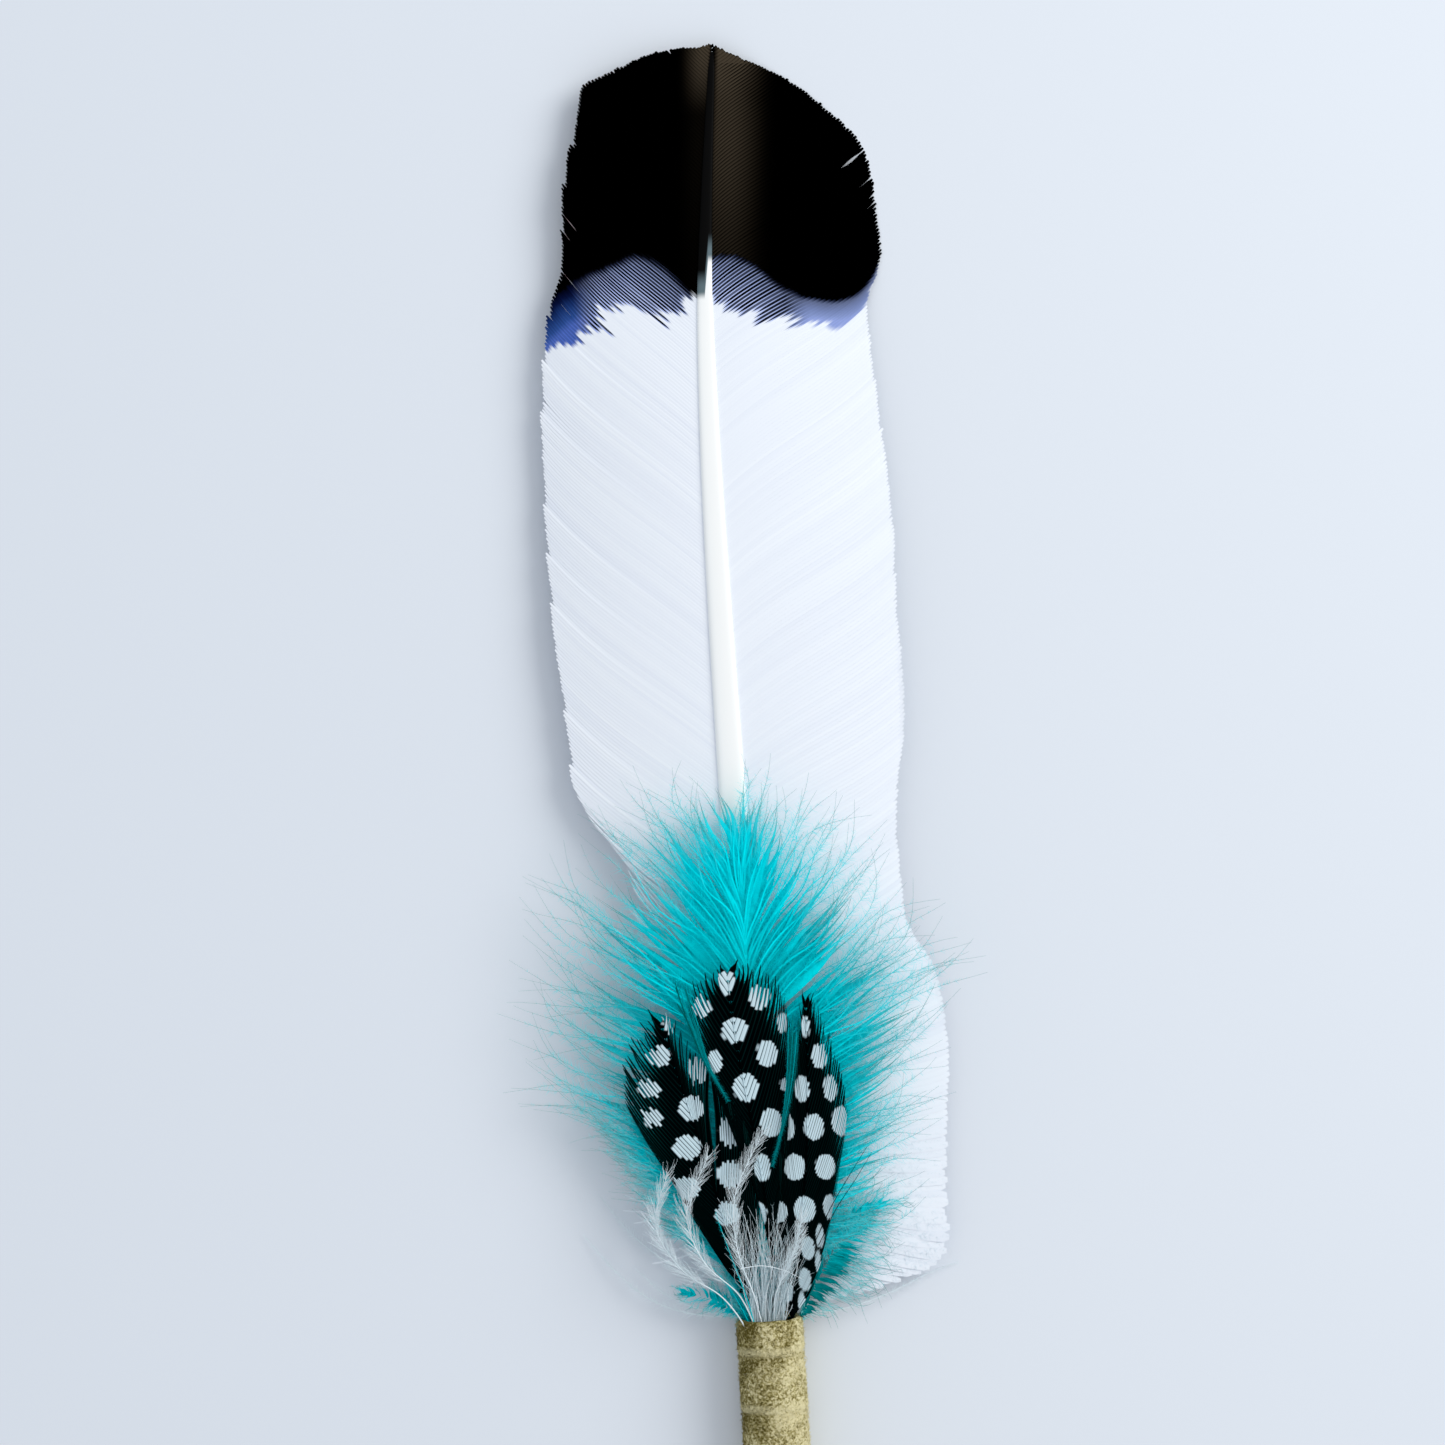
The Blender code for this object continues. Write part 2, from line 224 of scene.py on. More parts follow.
class Recipe:
    """A material in the making: its node tree, and the kinds of node that the finishes share."""

    def __init__(self, name: str) -> None:
        """Starts a material of this name."""
        self.made = bpy.data.materials.new(name)
        self.made.use_nodes = True
        self.tree = self.made.node_tree

    def feed(self, entry: Socket, value: Socket | float | tuple) -> None:
        """Links a socket into an input, or sets the input to a plain value."""
        if isinstance(value, Socket):
            self.tree.links.new(value, entry)
        else:
            entry.default_value = value

    def add(self, kind: str, settings: dict | None = None, inputs: dict | None = None) -> bpy.types.Node:
        """Adds a node.

        Args:
            kind: The node's type name.
            settings: Property values by name.
            inputs: By input name or index, a socket to link from or a plain value.

        Returns:
            The new node.
        """
        node = self.tree.nodes.new(kind)
        for name, value in (settings or {}).items():
            setattr(node, name, value)
        for name, value in (inputs or {}).items():
            self.feed(node.inputs[name], value)
        return node

    def mark(self, name: str) -> Socket:
        """A number that the mesh holds under this name."""
        return self.add("ShaderNodeAttribute", {"attribute_name": name}).outputs["Fac"]

    def maths(self, operation: str, *values: Socket | float) -> Socket:
        """The result of an operation on sockets and numbers."""
        inputs = dict(enumerate(values))
        return self.add("ShaderNodeMath", {"operation": operation}, inputs).outputs["Value"]

    def mapped(self, source: Socket, low: float, high: float, course: Course = Course.SOFT) -> Socket:
        """A value that runs from 0 at low to 1 at high, and stays there beyond."""
        ends = {"Value": source, "From Min": low, "From Max": high}
        return self.add("ShaderNodeMapRange", {"interpolation_type": course.value}, ends).outputs["Result"]

    def tone(self) -> Socket:
        """The mark tone, from 0 for the darkest to 1 for the lightest."""
        return self.mapped(self.mark("tone"), -1.0, 1.0, Course.EVEN)

    def ramp(self, source: Socket, stops: Stops) -> Socket:
        """A colour ramp over a value.

        Args:
            source: The value.
            stops: Each stop's position and hex colour.

        Returns:
            The colour's socket.
        """
        node = self.add("ShaderNodeValToRGB", inputs={"Fac": source})
        elements = node.color_ramp.elements
        while len(elements) < len(stops):
            elements.new(0.5)
        for element, (position, colour) in zip(elements, stops):
            element.position = position
            element.color = linear(colour)
        return node.outputs["Color"]

    def mixed(self, share: Socket, first: Socket | tuple, second: Socket | tuple) -> Socket:
        """Two colours mixed, with this share of the second one."""
        colours = {"Factor": share, 6: first, 7: second}
        return self.add("ShaderNodeMix", {"data_type": "RGBA"}, colours).outputs[2]

    def finished(self, colour: Socket | tuple, roughness: float, gloss: float = 0.0) -> bpy.types.Material:
        """Sets the shader and ends the material.

        Args:
            colour: Its base colour.
            roughness: Its roughness.
            gloss: Its specular level.

        Returns:
            The material.
        """
        values = {"Base Color": colour, "Roughness": roughness, "Specular IOR Level": gloss}
        for name, value in values.items():
            self.feed(self.tree.nodes["Principled BSDF"].inputs[name], value)
        return self.made


@dataclass(frozen=True)
class DyedVane:
    """White keratin barbs, dip-dyed black. The dye crept down each barb's middle as a dark line
    with a blue stain beside it, and thin barbs near the shaft let brown light through."""

    white: str = "#f1f6fd"
    shade: str = "#e1e7f4"
    black: str = "#000000"
    stain: Stops = (
        (0.0, "#000000"), (0.06, "#2e3650"), (0.2, "#7f8cb3"), (0.6, "#9cabd8"), (1.0, "#b7c5f2"),
    )
    deep_stain: Stops = (
        (0.0, "#000000"), (0.25, "#08123a"), (0.5, "#1b3670"), (0.8, "#2f5197"), (1.0, "#4f6cc0"),
    )
    line: str = "#06070d"
    sheen: str = "#40382d"
    stain_reach: float = 8.0

    def material(self) -> bpy.types.Material:
        """Builds the material from the marks dye, bleed, deep, lined, sheen, across and tone."""
        recipe = Recipe("dip_dyed_feather")
        dye, bleed, across = recipe.mark("dye"), recipe.mark("bleed"), recipe.mark("across")
        below = recipe.maths("DIVIDE", recipe.maths("MULTIPLY", dye, -1.0), self.stain_reach)
        stains = (recipe.ramp(below, stops) for stops in (self.stain, self.deep_stain))
        stain = recipe.mixed(recipe.mark("deep"), *stains)
        plain = recipe.mixed(recipe.tone(), linear(self.shade), linear(self.white))
        coloured = recipe.mixed(recipe.mapped(bleed, 0.3, 1.6), plain, stain)
        needle = recipe.mapped(bleed, 0.0, 2.5)
        off_line = recipe.maths("ABSOLUTE", recipe.maths("SUBTRACT", across, 0.15))
        on_line = recipe.maths("SUBTRACT", recipe.maths("MULTIPLY", needle, 0.52), off_line)
        on_line = recipe.maths("MULTIPLY", recipe.mapped(on_line, -0.1, 0.06), recipe.mark("lined"))
        coloured = recipe.mixed(on_line, coloured, linear(self.line))
        # Painted sheen: brown light through the thin barbs beside the shaft, mixed into the black tip as colour.
        painted_sheen = recipe.maths("MULTIPLY", recipe.mark("sheen"), recipe.mapped(across, -0.9, 0.3))
        tip = recipe.mixed(painted_sheen, linear(self.black), linear(self.sheen))
        colour = recipe.mixed(recipe.mapped(dye, -0.3, 0.5), coloured, tip)
        return recipe.finished(colour, roughness=0.7)


@dataclass(frozen=True)
class HornShaft:
    """Ivory keratin of the shaft, solid and faintly glossy, dyed with the tip, with painted shade on its left side.
    """

    light: str = "#f9faf9"
    shade: str = "#fafdfd"
    black: str = "#000000"
    stain: str = "#5f7076"

    def material(self) -> bpy.types.Material:
        """Builds the material from the marks dye and turn."""
        recipe = Recipe("horn_shaft")
        # Painted shade: the mark turn runs across the shaft, so its left side takes the shade colour and its right
        # side the light one, as if lit from the right.
        turned = recipe.mapped(recipe.mark("turn"), -1.0, 0.4)
        ivory = recipe.mixed(turned, linear(self.shade), linear(self.light))
        dye = recipe.mark("dye")
        stained = recipe.mixed(recipe.mapped(dye, -1.0, 0.8), ivory, linear(self.stain))
        colour = recipe.mixed(recipe.mapped(dye, 1.5, 5.0), stained, linear(self.black))
        return recipe.finished(colour, roughness=0.55, gloss=0.06)


@dataclass(frozen=True)
class DyedDown:
    """Marabou dyed turquoise: matte fluff that lets light through at its edges, on strands whose
    shafts are grey-green towards their ends."""

    bright: str = "#00f0fa"
    middle: str = "#00c6d0"
    dark: str = "#016a6a"
    haze: str = "#86e4e8"
    end: str = "#6fa5a4"

    def material(self) -> bpy.types.Material:
        """Builds the material from the marks tone, airy and along."""
        recipe = Recipe("turquoise_marabou")
        stops = ((0.0, self.dark), (0.5, self.middle), (1.0, self.bright))
        # The haze colour on the fine ends is painted light, the pale glow of light let through the thin fluff.
        body = recipe.mixed(recipe.mark("airy"), recipe.ramp(recipe.tone(), stops), linear(self.haze))
        colour = recipe.mixed(recipe.mapped(recipe.mark("along"), 0.4, 1.0), body, linear(self.end))
        return recipe.finished(colour, roughness=0.9)


@dataclass(frozen=True)
class SpottedVane:
    """Guinea fowl keratin: black barbs with a painted green sheen at their sides and pale round dots, crossed by
    fine lines of painted shade where the barbs part."""

    black: str = "#000203"
    cast: str = "#0a4a47"
    dot: str = "#cbe1e9"
    gap: str = "#4a5c64"

    def material(self) -> bpy.types.Material:
        """Builds the material from the marks spot, across and thin."""
        recipe = Recipe("guinea_fowl_barbs")
        across = recipe.maths("ABSOLUTE", recipe.mark("across"))
        # Painted sheen: where the barbs thin and open out, their sides take the green-teal cast colour.
        green = recipe.maths("MULTIPLY", recipe.mapped(across, 0.45, 0.95), recipe.mark("thin"))
        dark = recipe.mixed(green, linear(self.black), linear(self.cast))
        # Painted shade: on a dot, the barbs' sides take the dark gap colour, standing for the shade between the
        # barbs.
        pale = recipe.mixed(recipe.mapped(across, 0.55, 0.8), linear(self.dot), linear(self.gap))
        colour = recipe.mixed(recipe.mapped(recipe.mark("spot"), -0.12, 0.12), dark, pale)
        return recipe.finished(colour, roughness=0.7)


@dataclass(frozen=True)
class WhiteDown:
    """Undyed down: matte white fibres with a cold cast, which is a painted reflection of the turquoise marabou
    below.
    """

    light: str = "#eff8fc"
    shade: str = "#a9c3ca"

    def material(self) -> bpy.types.Material:
        """Builds the material from the mark tone."""
        recipe = Recipe("white_down")
        colour = recipe.mixed(recipe.tone(), linear(self.shade), linear(self.light))
        return recipe.finished(colour, roughness=0.8, gloss=0.1)


@dataclass(frozen=True)
class NappedSuede:
    """Tan split leather with its flesh side out: a rough nap of flecks from pale straw to olive."""

    pale: str = "#dcd3a8"
    tan: str = "#a59a66"
    olive: str = "#5a501f"
    fleck_mm: float = 0.26
    patch_mm: float = 5.0
    nap_mm: float = 0.2
    # The handle's right side is painted paler by this much a millimetre, as painted light from the right, and the
    # last few millimetres below its mouth are darker.
    lit_side_slope: float = 0.065 / 6
    dark_mm: float = 7.0
    darker: float = 0.04

    def material(self) -> bpy.types.Material:
        """Builds the material from Object coordinates and the mark seam."""
        recipe = Recipe("napped_suede")
        place = recipe.add("ShaderNodeTexCoord").outputs["Object"]
        fleck = recipe.add("ShaderNodeTexNoise", inputs={
            "Vector": place, "Scale": 1 / (self.fleck_mm * 2 * MM), "Detail": 3.0, "Roughness": 0.65,
            "Distortion": 0.6}).outputs["Fac"]
        patch = recipe.add("ShaderNodeTexNoise", inputs={
            "Vector": place, "Scale": 1 / (self.patch_mm * MM), "Detail": 2.0}).outputs["Fac"]
        split = recipe.add("ShaderNodeSeparateXYZ", inputs={"Vector": place}).outputs
        mouth = recipe.mapped(split["Y"], (MOUTH_Y - self.dark_mm) * MM, MOUTH_Y * MM, Course.EVEN)
        # The X share is painted light: paler on the right side, darker on the left.
        shares = ((fleck, 0.68), (patch, 0.32), (split["X"], self.lit_side_slope / MM), (mouth, -self.darker))
        mottle = 0.0
        for source, share in shares:
            mottle = recipe.maths("MULTIPLY_ADD", source, share, mottle)
        body = recipe.ramp(mottle, ((0.39, self.olive), (0.49, self.tan), (0.57, self.pale)))
        colour = recipe.mixed(recipe.mark("seam"), body, linear(self.pale))
        made = recipe.finished(colour, roughness=0.95, gloss=0.1)
        bump = recipe.add("ShaderNodeBump", inputs={
            "Height": fleck, "Strength": 1.0, "Distance": self.nap_mm * MM})
        recipe.feed(made.node_tree.nodes["Principled BSDF"].inputs["Normal"], bump.outputs["Normal"])
        return made


@dataclass(frozen=True)
class PaleGround:
    """A plain matte sheet under the feather, pale and slightly blue."""

    colour: str = "#e3e9f1"

    def material(self) -> bpy.types.Material:
        """Builds the material."""
        return Recipe("pale_ground").finished(linear(self.colour), roughness=0.9)


def sides_of(plans: Array) -> Array:
    """The level direction across each path at each station, to the right seen along it."""
    ahead = np.gradient(plans, axis=-2)
    return unit(np.stack([ahead[..., 1], -ahead[..., 0]], axis=-1))


def spacing(plans: Array) -> Array:
    """Distance between neighbouring paths, measured across them."""
    return np.abs((np.gradient(plans, axis=0) * sides_of(plans)).sum(axis=-1))


def bowed(feet: Array, rims: Array, stations: int, leave: Array | float, arrive: Array | float) -> Array:
    """Paths in plan from feet to rims on cubic curves.

    Args:
        feet: Start points.
        rims: End points.
        stations: Points on each path.
        leave: Degrees by which a path leaves its foot turned towards the tip.
        arrive: Degrees by which it reaches its rim turned towards the tip.

    Returns:
        An array of paths by stations by two.
    """
    span = rims - feet
    towards_tip = np.sign(span[:, 0])
    start, end = (BOW * rotated(span, np.radians(turn) * towards_tip) for turn in (leave, arrive))
    corners = (feet, feet + start, rims - end, rims)
    s = np.linspace(0, 1, stations)[None, :, None]
    weights = ((1 - s) ** 3, 3 * s * (1 - s) ** 2, 3 * s**2 * (1 - s), s**3)
    return sum(weight * corner[:, None, :] for weight, corner in zip(weights, corners))


def new_piece(name: str, data: bpy.types.Mesh, finish: bpy.types.Material, slot: str,
              *nodes: str) -> None:
    """Puts a mesh in the scene as a piece that stands for CAD nodes.

    Args:
        name: The piece's name.
        data: Its mesh, in the frame's metres.
        finish: Its material.
        slot: The record's material slot, which is not used.
        nodes: The CAD nodes it replaces.
    """
    data.name = name
    data.materials.append(finish)
    made = bpy.data.objects.new(name, data)
    bpy.context.scene.collection.objects.link(made)
    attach(made, "root")
    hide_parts(*nodes)
    LOG.info("%s: %d faces", name, len(data.polygons))


def array_mesh(points: Array, corners: Array, sizes: Array, chart: Array,
               marks: dict[str, Array]) -> bpy.types.Mesh:
    """A flat-shaded mesh from arrays.

    Args:
        points: Vertices in millimetres from the mouth.
        corners: Each face's vertices, one face after another.
        sizes: Number of corners of each face.
        chart: A place in the UV map for each corner.
        marks: A number for each vertex, by name.

    Returns:
        The mesh.
    """
    made = bpy.data.meshes.new("piece")
    made.vertices.add(len(points))
    made.vertices.foreach_set("co", placed(points).ravel())
    made.loops.add(len(corners))
    made.loops.foreach_set("vertex_index", corners)
    made.polygons.add(len(sizes))
    made.polygons.foreach_set("loop_start", np.concatenate([[0], np.cumsum(sizes)[:-1]]))
    made.update(calc_edges=True)
    made.uv_layers.new(name=UV_NAME).data.foreach_set("uv", chart.ravel())
    for mark_name, values in marks.items():
        made.attributes.new(mark_name, "FLOAT", "POINT").data.foreach_set("value", values.ravel())
    made.polygons.foreach_set("use_smooth", np.zeros(len(sizes), bool))
    return made


def cells(count: int) -> tuple[Array, Array, float, float]:
    """Places in the UV map, one for each strand: left and low corner, width and height."""
    columns = max(1, math.ceil(count / UV_ROWS))
    rows = math.ceil(count / columns)
    column, row = np.divmod(np.arange(count), rows)
    return column / columns, row / rows, 1 / columns, 1 / rows


@dataclass
class Strands:
    """Many barbs or hairs in one mesh: each is a thin three-sided rod along its own path.

    Attributes:
        paths: Middle lines, strands by stations by three, in millimetres from the mouth.
        widths: Width of each strand at each station.
        heights: Thickness at each station.
        lean: How much higher the right side stands than the left one, so that neighbours overlap.
        marks: A number for each strand and station, by name.
    """

    paths: Array
    widths: Array
    heights: Array
    lean: Array | float = 0.0
    marks: dict[str, Array] = field(default_factory=dict)

    def mesh(self) -> bpy.types.Mesh:
        """Builds the closed rods, with a mark named across that runs from -1 to 1 over each."""
        count, stations = self.widths.shape
        side = np.concatenate([sides_of(self.paths[..., :2]), np.zeros((count, stations, 1))], axis=-1)
        up = np.array([0, 0, 1.0])
        half = 0.5 * self.widths[..., None] * side
        thick = self.heights[..., None] * up
        lean = 0.5 * np.broadcast_to(self.lean, self.widths.shape)[..., None] * up
        rings = np.stack([
            self.paths - half - lean - 0.35 * thick,
            self.paths + 0.65 * thick,
            self.paths + half + lean - 0.35 * thick,
        ], axis=2)
        rings[..., 2] = np.maximum(rings[..., 2], LOWEST)
        index = np.arange(count * stations * 3).reshape(count, stations, 3)
        left, top, right = np.moveaxis(index, -1, 0)
        low, high = slice(None, -1), slice(1, None)
        quads = np.stack([
            np.stack([left[:, low], left[:, high], right[:, high], right[:, low]], axis=-1),
            np.stack([left[:, low], top[:, low], top[:, high], left[:, high]], axis=-1),
            np.stack([right[:, low], right[:, high], top[:, high], top[:, low]], axis=-1),
        ], axis=2)
        ends = np.stack([
            np.stack([left[:, 0], right[:, 0], top[:, 0]], axis=-1),
            np.stack([left[:, -1], top[:, -1], right[:, -1]], axis=-1),
        ], axis=1)
        corners = np.concatenate([quads.reshape(-1), ends.reshape(-1)])
        sizes = np.concatenate([np.full(quads.size // 4, 4), np.full(ends.size // 3, 3)])
        column, row, wide, tall = cells(count)
        margin = UV_MARGIN if wide < 1 else UV_END
        along = np.linspace(margin, 1 - margin, stations)
        across = np.array([UV_MARGIN, 0.5, 1 - UV_MARGIN])
        chart = np.empty((count, stations, 3, 2))
        chart[..., 0] = column[:, None, None] + wide * along[None, :, None]
        chart[..., 1] = row[:, None, None] + tall * across[None, None, :]
        marks = {key: np.repeat(value[..., None], 3, axis=2) for key, value in self.marks.items()}
        marks["across"] = np.broadcast_to(np.array([-1.0, 0.0, 1.0]), (count, stations, 3)).copy()
        return array_mesh(rings.reshape(-1, 3), corners, sizes, chart.reshape(-1, 2)[corners], marks)


def sliver_mesh(roots: Array, ends: Array, width: Array | float, marks: dict[str, Array]) -> bpy.types.Mesh:
    """Many pointed three-sided slivers in one mesh.

    Args:
        roots: Middle of each sliver's root.
        ends: Its point.
        width: Width at the root.
        marks: A number for each sliver, by name.

    Returns:
        The mesh.
    """
    count = len(roots)
    heading = ends - roots
    side = np.stack([heading[:, 1], -heading[:, 0], np.zeros(count)], axis=1)
    side *= (np.broadcast_to(width, count) / 2 / np.maximum(np.linalg.norm(side, axis=1), 1e-6))[:, None]
    top = roots + raised(np.zeros((count, 2)), np.broadcast_to(width, count))
    points = np.stack([roots - side, roots + side, top, ends], axis=1)
    points[..., 2] = np.maximum(points[..., 2], LOWEST)
    index = np.arange(count * 4).reshape(count, 4)
    corners = index[:, [0, 1, 2, 0, 2, 3, 2, 1, 3, 1, 0, 3]].reshape(-1)
    column, row, wide, tall = cells(count)
    spots = np.array([[0.15, 0.2], [0.15, 0.8], [0.3, 0.5], [0.85, 0.5]])
    chart = np.stack([column[:, None] + wide * spots[:, 0], row[:, None] + tall * spots[:, 1]], axis=-1)
    spread = {key: np.repeat(value[:, None], 4, axis=1) for key, value in marks.items()}
    sizes = np.full(count * 4, 3)
    return array_mesh(points.reshape(-1, 3), corners, sizes, chart.reshape(-1, 2)[corners], spread)


@dataclass
class Fluff:
    """Fine barbules on strands: each is a sliver that leaves its strand at an angle.

    Attributes:
        count: Number of barbules.
        length: Length of the longest ones.
        width: Width at the root.
        angle: Degrees between a barbule and its strand, least and most.
        rise: How far a barbule's end may stand above or below its root, as a share of its length.
    """

    count: int
    length: float
    width: float
    angle: tuple[float, float] = (30.0, 65.0)
    rise: float = 0.4

    def mesh(self, strands: Strands, chance: Chance, reach: Array) -> bpy.types.Mesh:
        """Builds the barbules.

        Args:
            strands: What they grow on.
            chance: Source of the random draws.
            reach: Length of the barbules at each strand and station, as a share of the longest.

        Returns:
            The mesh.
        """
        paths = strands.paths
        steps = np.linalg.norm(np.diff(paths, axis=1), axis=2)
        weights = (steps * np.minimum(reach[:, 1:] * 3, 1)).ravel()
        picked = chance.choice(len(weights), self.count, p=weights / weights.sum())
        strand, station = np.divmod(picked, steps.shape[1])
        start, stop = paths[strand, station], paths[strand, station + 1]
        root = start + (stop - start) * chance.random(self.count)[:, None]
        turn = np.radians(chance.uniform(*self.angle, self.count)) * chance.choice((-1, 1), self.count)
        rise = chance.uniform(-self.rise, self.rise, self.count)
        heading = raised(rotated(unit((stop - start)[:, :2]), turn), rise)
        length = self.length * reach[strand, station] * chance.uniform(0.5, 1, self.count)
        end = root + heading * length[:, None]
        marks = {key: value[strand, station] for key, value in strands.marks.items()}
        marks["tone"] = marks["tone"] + chance.uniform(-0.2, 0.2, self.count)
        return sliver_mesh(root, end, self.width, marks)


@dataclass(frozen=True)
class Stray:
    """A single long strand.

    Attributes:
        line: Its line in plan.
        heights: Height over the surface at its root and at its end.
        width: Width at its root.
        tone: How much lighter or darker it is than the others.
    """

    line: Points
    heights: tuple[float, float]
    width: float = 0.2
    tone: float = 0.0


def stray_strands(strays: tuple[Stray, ...], marks: dict[str, float]) -> Strands:
    """Strands for single long hairs, which taper to their ends.

    Args:
        strays: The hairs.
        marks: A number for all of them, by name.

    Returns:
        The strands.
    """
    share = np.linspace(0, 1, STRAY_STATIONS)
    plans = np.stack([Line(stray.line).at(share) for stray in strays])
    z = np.stack([np.linspace(*stray.heights, STRAY_STATIONS) for stray in strays])
    widths = np.array([[stray.width] for stray in strays]) * (1 - 0.65 * share)
    spread = {key: np.full_like(z, value) for key, value in marks.items()}
    if "tone" in spread:
        spread["tone"] = spread["tone"] + np.array([[stray.tone] for stray in strays])
    heights = np.minimum(widths * 0.8, 0.2)
    return Strands(raised(plans, z), widths, heights, 0.0, spread)


def wisp(line: Points, heights: tuple[float, float], spread: float, count: int,
         tone: float) -> tuple[Stray, ...]:
    """Fine hairs side by side that draw together towards the last point of a line.

    Args:
        line: Their middle line in plan.
        heights: Height over the surface at its first and last point.
        spread: How wide they stand at the first point.
        count: Number of hairs.
        tone: How much lighter or darker they are than others.

    Returns:
        The hairs.
    """
    chance = np.random.default_rng(SEED + 300 + count)
    last = len(line) - 1
    made = []
    for place in np.linspace(-0.5, 0.5, count):
        slip, drop = chance.normal(0, (0.06, 1.6))
        points = tuple(
            (x + spread * (place + slip) * (1 - index / last), y + (drop if index == 0 else 0))
            for index, (x, y) in enumerate(line))
        made.append(Stray(points, heights, 0.22, tone + chance.normal(0, 0.35)))
    return tuple(made)


@dataclass(frozen=True)
class Slit:
    """A gap between two barbs.

    Attributes:
        rim: Where the barbs beside it meet the edge, across and along.
        width: Its width.
        start: Share of the barb at which it opens.
        end: Share at which it closes, or 1 where it runs out at the edge.
        reach: Number of barbs that bend away from it on each side.
    """

    rim: tuple[float, float]
    width: float
    start: float
    end: float = 1.0
    reach: float = 4.0


@dataclass
class MainFeather:
    """The large wing feather: two vanes of barbs on a broad shaft, with fluff at their foot."""

    shaft: Points = (
        (-0.1, 8), (-0.6, 52), (-1.3, 106), (-1.6, 136), (-1.5, 174), (-0.9, 195), (0.4, 212), (3.2, 241.5),
    )
    left_edge: Points = (
        (-5, 4), (-17, 7), (-25, 19), (-26, 44), (-22, 70), (-23, 88), (-28.6, 96.5), (-31.2, 102), (-31.6, 110),
        (-33.2, 130), (-33.7, 158), (-32.3, 184), (-31.1, 191), (-30.2, 195.5), (-28.4, 199), (-27.4, 204),
        (-27.3, 211), (-26.8, 215.5), (-25.7, 221), (-24.2, 225.6), (-22.9, 231), (-21.9, 235.1), (-17.3, 237.3),
        (-13.9, 238.7), (-9.4, 240.5), (-5.2, 241.4), (0.15, 241.7), (2.6, 241.9),
    )
    right_edge: Points = (
        (5, 3), (14, 3), (23, 4.5), (33, 8.5), (35.2, 24), (36.2, 37), (37, 50.4), (34.5, 65.8), (30.8, 73),
        (29.8, 82), (29.9, 96.3), (32.2, 111), (32.1, 133.6), (32.3, 149.6), (30.8, 172.5), (30, 186),
        (30.2, 192.6), (32, 196.8), (33.2, 202), (32.7, 208.6), (32.6, 213.4), (31.7, 218.2), (30.6, 222),
        (27.6, 225.8), (24, 229.3), (20, 232.9), (16, 235.8), (10.8, 238.4), (5.4, 240.8), (3.4, 241.8),
    )
    sweep: float = 0.72
    barbs: int = 312
    stations: int = 36
    thickness: float = 0.035
    overlap: float = 1.3
    lean: float = 0.015
    lock_length: float = 0.052
    lock_step: float = 0.9
    lock_ridge: float = 0.07
    radii: tuple[float, float] = (2.75, 0.5)
    taper: float = 2.4
    shaft_sides: int = 20
    shaft_steps: int = 90
    # Shares of the shaft over which the loose barbs at the foot give way to the closed vane.
    left_loose: tuple[float, float] = (0.14, 0.31)
    right_loose: tuple[float, float] = (0.02, 0.15)
    left_slits: tuple[Slit, ...] = (
        Slit((-5.2, 241.4), 0.5, 0.9), Slit((-27.4, 211), 0.45, 0.86, 0.99), Slit((-28.6, 200.5), 0.4, 0.82, 0.98),
        Slit((-30.3, 196.5), 0.35, 0.84, 0.98),
    )
    right_slits: tuple[Slit, ...] = (
        Slit((31.2, 220.6), 0.9, 0.84, 0.99), Slit((32.3, 215.5), 0.35, 0.88), Slit((32.7, 210.5), 0.25, 0.9),
    )
    strays: tuple[Stray, ...] = (
        Stray(((-12, 14), (-22, 23), (-28.8, 34.6), (-32, 41), (-33.8, 47.4)), (3.5, 1.2), 0.24),
        Stray(((-12, 8), (-20, 12), (-26.4, 17.9), (-30.8, 23.9)), (3, 0.6), 0.16),
        Stray(((-4.5, 0.6), (-13, 0.9), (-21.5, 3.7), (-28.6, 9.6), (-34.6, 17)), (5, 0.6), 0.22),
        Stray(((-4.5, 0.2), (-12, 1.6), (-19.5, 5), (-25, 10)), (5.4, 1.0), 0.18),
        Stray(((5, 0.6), (13, 0.4), (21.2, 2.2), (32.5, 6.5), (36.8, 7.6)), (5, 0.5), 0.24),
        Stray(((5, 1.5), (13, 3), (20, 5.5), (26, 10), (31, 17)), (5, 1.5), 0.18),
    )
    # Lower limit of the solid dye, and of the last dark lines, as across and along.
    left_dye: Points = (
        (-34, 193), (-30.5, 195), (-28, 197), (-25, 198.6), (-20.3, 200.6), (-12.5, 202.4), (-8.2, 199.9),
        (-5.3, 196.6), (-2.4, 193.4), (-1, 192.2),
    )
    left_bleed: Points = (
        (-34, 183), (-31, 184.8), (-25, 187), (-20, 189.5), (-14, 191), (-9, 190.3), (-5, 191.8), (-1.5, 193.5),
    )
    right_dye: Points = (
        (-1, 200.8), (1.3, 201.4), (4, 201.6), (6.7, 200.8), (9, 199.4), (11, 197.6), (13.4, 195.6), (17.3, 193.4),
        (20, 192.6), (25.3, 192.4), (28, 193.4), (30.4, 195.6), (33, 199.8),
    )
    right_bleed: Points = (
        (-1, 194.5), (0.6, 192), (5, 190), (9, 188.3), (14, 187.6), (19, 187), (24.6, 186.2), (28.4, 189),
        (31, 193), (33, 197),
    )

    def foot(self, side: Side) -> tuple[Array, Array, Array]:
        """Shares of the barbs along the shaft, their feet, and their ends before any wear."""
        share = np.linspace(0.0, 1.0, self.barbs) ** 0.98
        edge = Line(self.right_edge if side is Side.RIGHT else self.left_edge)
        return share, Line(self.shaft).at(share), edge.at(share**self.sweep)

